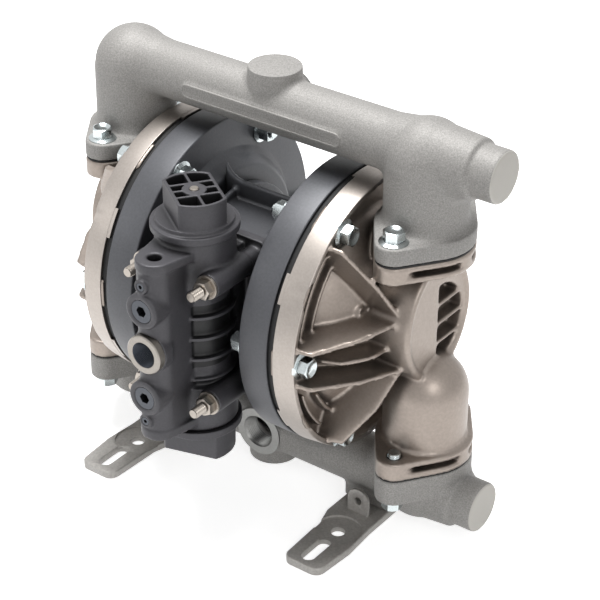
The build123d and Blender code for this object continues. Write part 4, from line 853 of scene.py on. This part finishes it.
# Bolts and nuts: places across the rod, and how far each hexagon happens to be turned, in degrees
BOLT_POINTS = [
    (BOLT_CIRCLE_R * math.cos(turn), ROD_HEIGHT + BOLT_CIRCLE_R * math.sin(turn))
    for turn in SIXTHS]
BOLT_TURNS = (12, 41, 25, 3, 52, 33)
MANIFOLD_BOLT_TURNS = (8, 35, 20, 50)
MANIFOLD_BOLT_Y = 40.6
HEAD_X = 97
NUT_X = 50
SHANK_R = 5.0
HEXAGON = (1.9, 9.5, 6.5)
NUT_HEXAGON = (1.9, 10.5, 6.5)
HEX_HEAD = [(8.083, 1.9), (8.083, 9.5), (6.3, 9.5), (5.7, 9.2), (4.6, 8.2), (2.5, 7.7), (0, 7.6)]
FLANGE_FOOT = [(10.8, 0), (10.8, 0.8), (8.4, 2.1)]


class PUMP_OT_flange_bolts(bpy.types.Operator):
    """Models the hex flange bolts and nuts of the chambers and manifolds"""
    bl_idname = "pump.flange_bolts"
    bl_label = "Flange bolts"

    def execute(self, context):
        pitch = context.scene.pump_sizes.thread_pitch / MM
        zinc = finish("zinc")
        tip = [(0, -60.0), (4.2, -60.0)] + thread(SHANK_R, -59.2, -45, pitch, 0.75)
        shank_side = [(SHANK_R, -44.5), (SHANK_R, 0)]
        bolt = turned("flange_bolt", tip + shank_side + FLANGE_FOOT + HEX_HEAD, hexagon=HEXAGON)
        nut_side = [(8.083, 1.9), (8.083, 10.5), (6.5, 10.5), (5.7, 10.5), (5.1, 10.5), (5.1, 0)]
        nut = turned("flange_nut", FLANGE_FOOT + nut_side, ring=True, hexagon=NUT_HEXAGON)
        for side, sign in (("right", 1), ("left", -1)):
            heads = [
                spot(sign * HEAD_X, y, z, (sign, 0, 0), turn)
                for (y, z), turn in zip(BOLT_POINTS, BOLT_TURNS)]
            node = f"chamber_bolts_{side}"
            place_copies(bolt, f"chamber_flange_bolts_{side}", heads, [node], zinc)
            nuts = [
                spot(sign * NUT_X, y, z, (-sign, 0, 0), turn)
                for (y, z), turn in zip(BOLT_POINTS, reversed(BOLT_TURNS))]
            node = f"chamber_nuts_{side}"
            place_copies(nut, f"chamber_flange_nuts_{side}", nuts, [node], zinc)
        for row, reach, height, way, shank in (
                ("upper", UPPER_LEG_X, 264.8, 1, 27.0),
                ("lower", LOWER_LEG_X, 49.0, -1, 40.2)):
            tip = [(0, -shank), (4.2, -shank)] + thread(SHANK_R, 0.8 - shank, 12 - shank, pitch, 0.75)
            shank_side = [(SHANK_R, 12.5 - shank), (SHANK_R, 0)]
            pattern = turned("manifold_bolt", tip + shank_side + FLANGE_FOOT + HEX_HEAD, hexagon=HEXAGON)
            points = [(x, y) for x in (-reach, reach) for y in (-MANIFOLD_BOLT_Y, MANIFOLD_BOLT_Y)]
            seats = [
                spot(x, y, height, (0, 0, way), turn)
                for (x, y), turn in zip(points, MANIFOLD_BOLT_TURNS)]
            node = f"manifold_bolts_{row}"
            place_copies(pattern, f"manifold_flange_bolts_{row}", seats, [node], zinc)
            drop(pattern)
        drop(bolt)
        drop(nut)
        return {"FINISHED"}


STUD_POINTS = [(x, ROD_HEIGHT + z) for x in (-29, 29) for z in (-49, 49)]
STUD_TURNS = (14, 44, 30, 5)
STUD_R = 4.0
BUSH_SEAT_Y = -149.6


class PUMP_OT_valve_fasteners(bpy.types.Operator):
    """Models the studs, nuts and washers of the air valve and the bush of its inlet"""
    bl_idname = "pump.valve_fasteners"
    bl_label = "Valve fasteners"

    def execute(self, context):
        pitch = context.scene.pump_sizes.stud_pitch / MM
        steel = finish("stud")
        stud_side = thread(STUD_R, -0.7, -24, pitch, 0.7) + [(STUD_R, -24.5), (STUD_R, -116.5), (0, -116.5)]
        stud = turned("valve_stud", [(0, 0), (3.3, 0)] + stud_side)
        nut_side = [(4.1, 6.5), (5.2, 6.5), (6.1, 6.5), (7.506, 6.5), (7.506, 0), (4.1, 0)]
        nut = turned("valve_nut", nut_side, ring=True, hexagon=(0, 6.5, 6.1))
        washer_side = [(4.1, 0), (9.0, 0), (9.2, 0.2), (9.2, 1.8), (9.0, 2.0), (4.1, 2.0)]
        washer = turned("valve_washer", washer_side, ring=True)
        for name, node, pattern, seat in (
                ("valve_stud_set", "valve_studs", stud, -136.5),
                ("valve_nut_set", "valve_nuts", nut, -119.0),
                ("valve_washer_set", "valve_washers", washer, -117.0)):
            spots = [spot(x, seat, z, (0, -1, 0), turn) for (x, z), turn in zip(STUD_POINTS, STUD_TURNS)]
            place_copies(pattern, name, spots, [node], steel)
            drop(pattern)
        bore_thread = list(reversed(thread(9.3, -13.0, 4.4, 1.337, -0.75)))
        bore = [(9.3, 5.0)] + bore_thread + [(9.3, -13.6), (9.3, -14.0)]
        shell = [(12.5, -14.0), (12.5, 0), (15.3, 0), (15.3, 5.2), (14.5, 6.0), (10.4, 6.0)]
        bush = turned("air_bush", shell + bore, ring=True, sides=64)
        seat = spot(0, BUSH_SEAT_Y, ROD_HEIGHT, (0, -1, 0))
        collar = place_copies(bush, "air_inlet_bush_turned", [seat], ["air_inlet_bush"], finish("nickel"))
        drop(bush)
        return {"FINISHED"}


class PUMP_OT_feet(bpy.types.Operator):
    """Finishes the feet"""
    bl_idname = "pump.feet"
    bl_label = "Feet"

    def execute(self, context):
        for side in ("right", "left"):
            paint(rounded(f"foot_{side}", f"foot_{side}_plate", 0.6), "foot")
        return {"FINISHED"}


PLAIN_FINISHES = {
    "rubber": (
        "diaphragm_right", "diaphragm_left", "joint_gaskets", "valve_gasket", "cap_seals",
        "seat_rings_upper", "seat_rings_lower", "rod_seal_right", "rod_seal_left"),
    "zinc": ("chamber_screws_right", "chamber_screws_left", "foot_screws"),
    "plug": ("pilot_screws", "port_plugs"),
    "stud": ("reset_pin", "rod_bush_right", "rod_bush_left"),
    "machined": (
        "outer_disk_right", "outer_disk_left", "inner_disk_right", "inner_disk_left", "spool", "valve_sleeve",
        "center_rod", "pilot_pin", "reset_spring", "ball_seats_upper", "ball_seats_lower"),
    "ball": ("ball_upper_right", "ball_upper_left", "ball_lower_right", "ball_lower_left"),
}


class PUMP_OT_inner_parts(bpy.types.Operator):
    """Gives the solids that keep their shape their finishes"""
    bl_idname = "pump.inner_parts"
    bl_label = "Inner parts"

    def execute(self, context):
        for name, nodes in PLAIN_FINISHES.items():
            for node in nodes:
                solid = NODES[node]
                solid.data.materials.clear()
                solid.data.materials.append(finish(name))
        return {"FINISHED"}


def paper_white(tree, lighting, seen):
    """A strength of one value as light on the pump and another where the backdrop is seen or mirrored."""
    rays = add(tree, "ShaderNodeLightPath")
    through = add(tree, "ShaderNodeMath", {
        0: rays.outputs["Is Camera Ray"],
        1: rays.outputs["Is Transmission Ray"],
    }, operation="ADD")
    shown = add(tree, "ShaderNodeMath", {
        0: through.outputs[0],
        1: rays.outputs["Is Glossy Ray"],
    }, operation="ADD", use_clamp=True)
    level = add(tree, "ShaderNodeMapRange", {"Value": shown.outputs[0], "To Min": lighting, "To Max": seen})
    return level.outputs["Result"]


# Camera fit to the photo: degrees, millimetres from the rod's middle, and lens in millimetres
CAMERA_AZIMUTH, CAMERA_ELEVATION, CAMERA_ROLL = 36.20, 30.98, 0.50
CAMERA_RIGHT, CAMERA_DROP, CAMERA_BACK = 19.4, 24.1, 1521.7
CAMERA_LENS, CAMERA_SENSOR = 119.27, 36.0

# Strength of the white backdrop as light on the pump and as the camera sees it
FLOOR_LIGHT, FLOOR_SEEN = 0.0, 0.72
SKY_LIGHT, SKY_SEEN = 0.17, 1.0


class PUMP_OT_stage(bpy.types.Operator):
    """Sets the floor, the studio light and the camera"""
    bl_idname = "pump.stage"
    bl_label = "Stage"

    def execute(self, context):
        scene = context.scene
        bpy.ops.object.select_all(action="DESELECT")
        bpy.ops.mesh.primitive_grid_add(x_subdivisions=8, y_subdivisions=8, size=12, location=(0, 0, -0.0005))
        floor = context.active_object
        floor.name = "studio_floor"
        material, tree, shader, place = begin("white_paper_floor")
        shader.inputs["Base Color"].default_value = (0.9, 0.9, 0.9, 1)
        shader.inputs["Roughness"].default_value = 0.9
        grain = add(tree, "ShaderNodeTexNoise", {"Vector": place, "Scale": per(2.0)})
        bump = add(tree, "ShaderNodeBump", {"Height": grain.outputs["Fac"], "Distance": 0.02 * MM})
        tree.links.new(bump.outputs["Normal"], shader.inputs["Normal"])
        shader.inputs["Emission Color"].default_value = (1, 1, 1, 1)
        tree.links.new(paper_white(tree, FLOOR_LIGHT, FLOOR_SEEN), shader.inputs["Emission Strength"])
        floor.data.materials.append(material)
        world = scene.world or bpy.data.worlds.new("studio")
        scene.world = world
        world.use_nodes = True
        tree = world.node_tree
        background = tree.nodes["Background"]
        background.inputs["Color"].default_value = (1, 1, 1, 1)
        tree.links.new(paper_white(tree, SKY_LIGHT, SKY_SEEN), background.inputs["Strength"])
        aim = Vector((0, 0, 0.17))
        for name, location, size, power in (
                ("top_softbox", (-0.35, 0.0, 2.1), 1.1, 50.0),
                ("side_softbox", (1.8, -1.2, 1.5), 1.0, 13.0),
                ("front_softbox", (-1.5, -1.5, 1.0), 0.9, 4.0)):
            data = bpy.data.lights.new(name, "AREA")
            data.shape = "DISK"
            data.size = size
            data.energy = power
            lamp = bpy.data.objects.new(name, data)
            scene.collection.objects.link(lamp)
            lamp.location = location
            lamp.rotation_euler = (aim - Vector(location)).to_track_quat("-Z", "Y").to_euler()
        azimuth = math.radians(CAMERA_AZIMUTH)
        elevation = math.radians(CAMERA_ELEVATION)
        roll = math.radians(CAMERA_ROLL)
        right = Vector((math.cos(azimuth), math.sin(azimuth), 0))
        level = math.cos(elevation)
        back = Vector((math.sin(azimuth) * level, -math.cos(azimuth) * level, math.sin(elevation)))
        up = back.cross(right)
        place = Vector((0, 0, ROD_HEIGHT)) + right * CAMERA_RIGHT - up * CAMERA_DROP + back * CAMERA_BACK
        across = right * math.cos(roll) + up * math.sin(roll)
        upward = up * math.cos(roll) - right * math.sin(roll)
        data = bpy.data.cameras.new("photo_camera")
        data.sensor_width = CAMERA_SENSOR
        data.lens = CAMERA_LENS
        camera = bpy.data.objects.new("photo_camera", data)
        scene.collection.objects.link(camera)
        turn = Matrix((across, upward, back)).transposed().to_4x4()
        camera.matrix_world = Matrix.Translation(place * MM) @ turn
        scene.camera = camera
        scene.view_settings.view_transform = "Standard"
        return {"FINISHED"}


STEPS = (
    PUMP_OT_manifolds,
    PUMP_OT_fluid_covers,
    PUMP_OT_air_side,
    PUMP_OT_air_valve,
    PUMP_OT_flange_bolts,
    PUMP_OT_valve_fasteners,
    PUMP_OT_feet,
    PUMP_OT_inner_parts,
    PUMP_OT_stage,
)


class PUMP_PT_panel(bpy.types.Panel):
    """Lists the steps, sizes and colours of the pump"""
    bl_idname = "PUMP_PT_panel"
    bl_label = "Diaphragm pump"
    bl_space_type = "VIEW_3D"
    bl_region_type = "UI"
    bl_category = "Pump"

    def draw(self, context):
        for group in (context.scene.pump_sizes, context.scene.pump_colours):
            for name in group.bl_rna.properties.keys():
                if name not in ("rna_type", "name"):
                    self.layout.prop(group, name)
        for step in STEPS:
            self.layout.operator(step.bl_idname)


CLASSES = (PumpColours, PumpSizes) + STEPS + (PUMP_PT_panel,)


def register():
    for item in CLASSES:
        bpy.utils.register_class(item)
    bpy.types.Scene.pump_colours = PointerProperty(type=PumpColours)
    bpy.types.Scene.pump_sizes = PointerProperty(type=PumpSizes)


def unregister():
    del bpy.types.Scene.pump_sizes
    del bpy.types.Scene.pump_colours
    for item in reversed(CLASSES):
        bpy.utils.unregister_class(item)


def main():
    register()
    bpy.ops.pump.manifolds()
    bpy.ops.pump.fluid_covers()
    bpy.ops.pump.air_side()
    bpy.ops.pump.air_valve()
    bpy.ops.pump.flange_bolts()
    bpy.ops.pump.valve_fasteners()
    bpy.ops.pump.feet()
    bpy.ops.pump.inner_parts()
    bpy.ops.pump.stage()


if __name__ == "__main__":
    main()
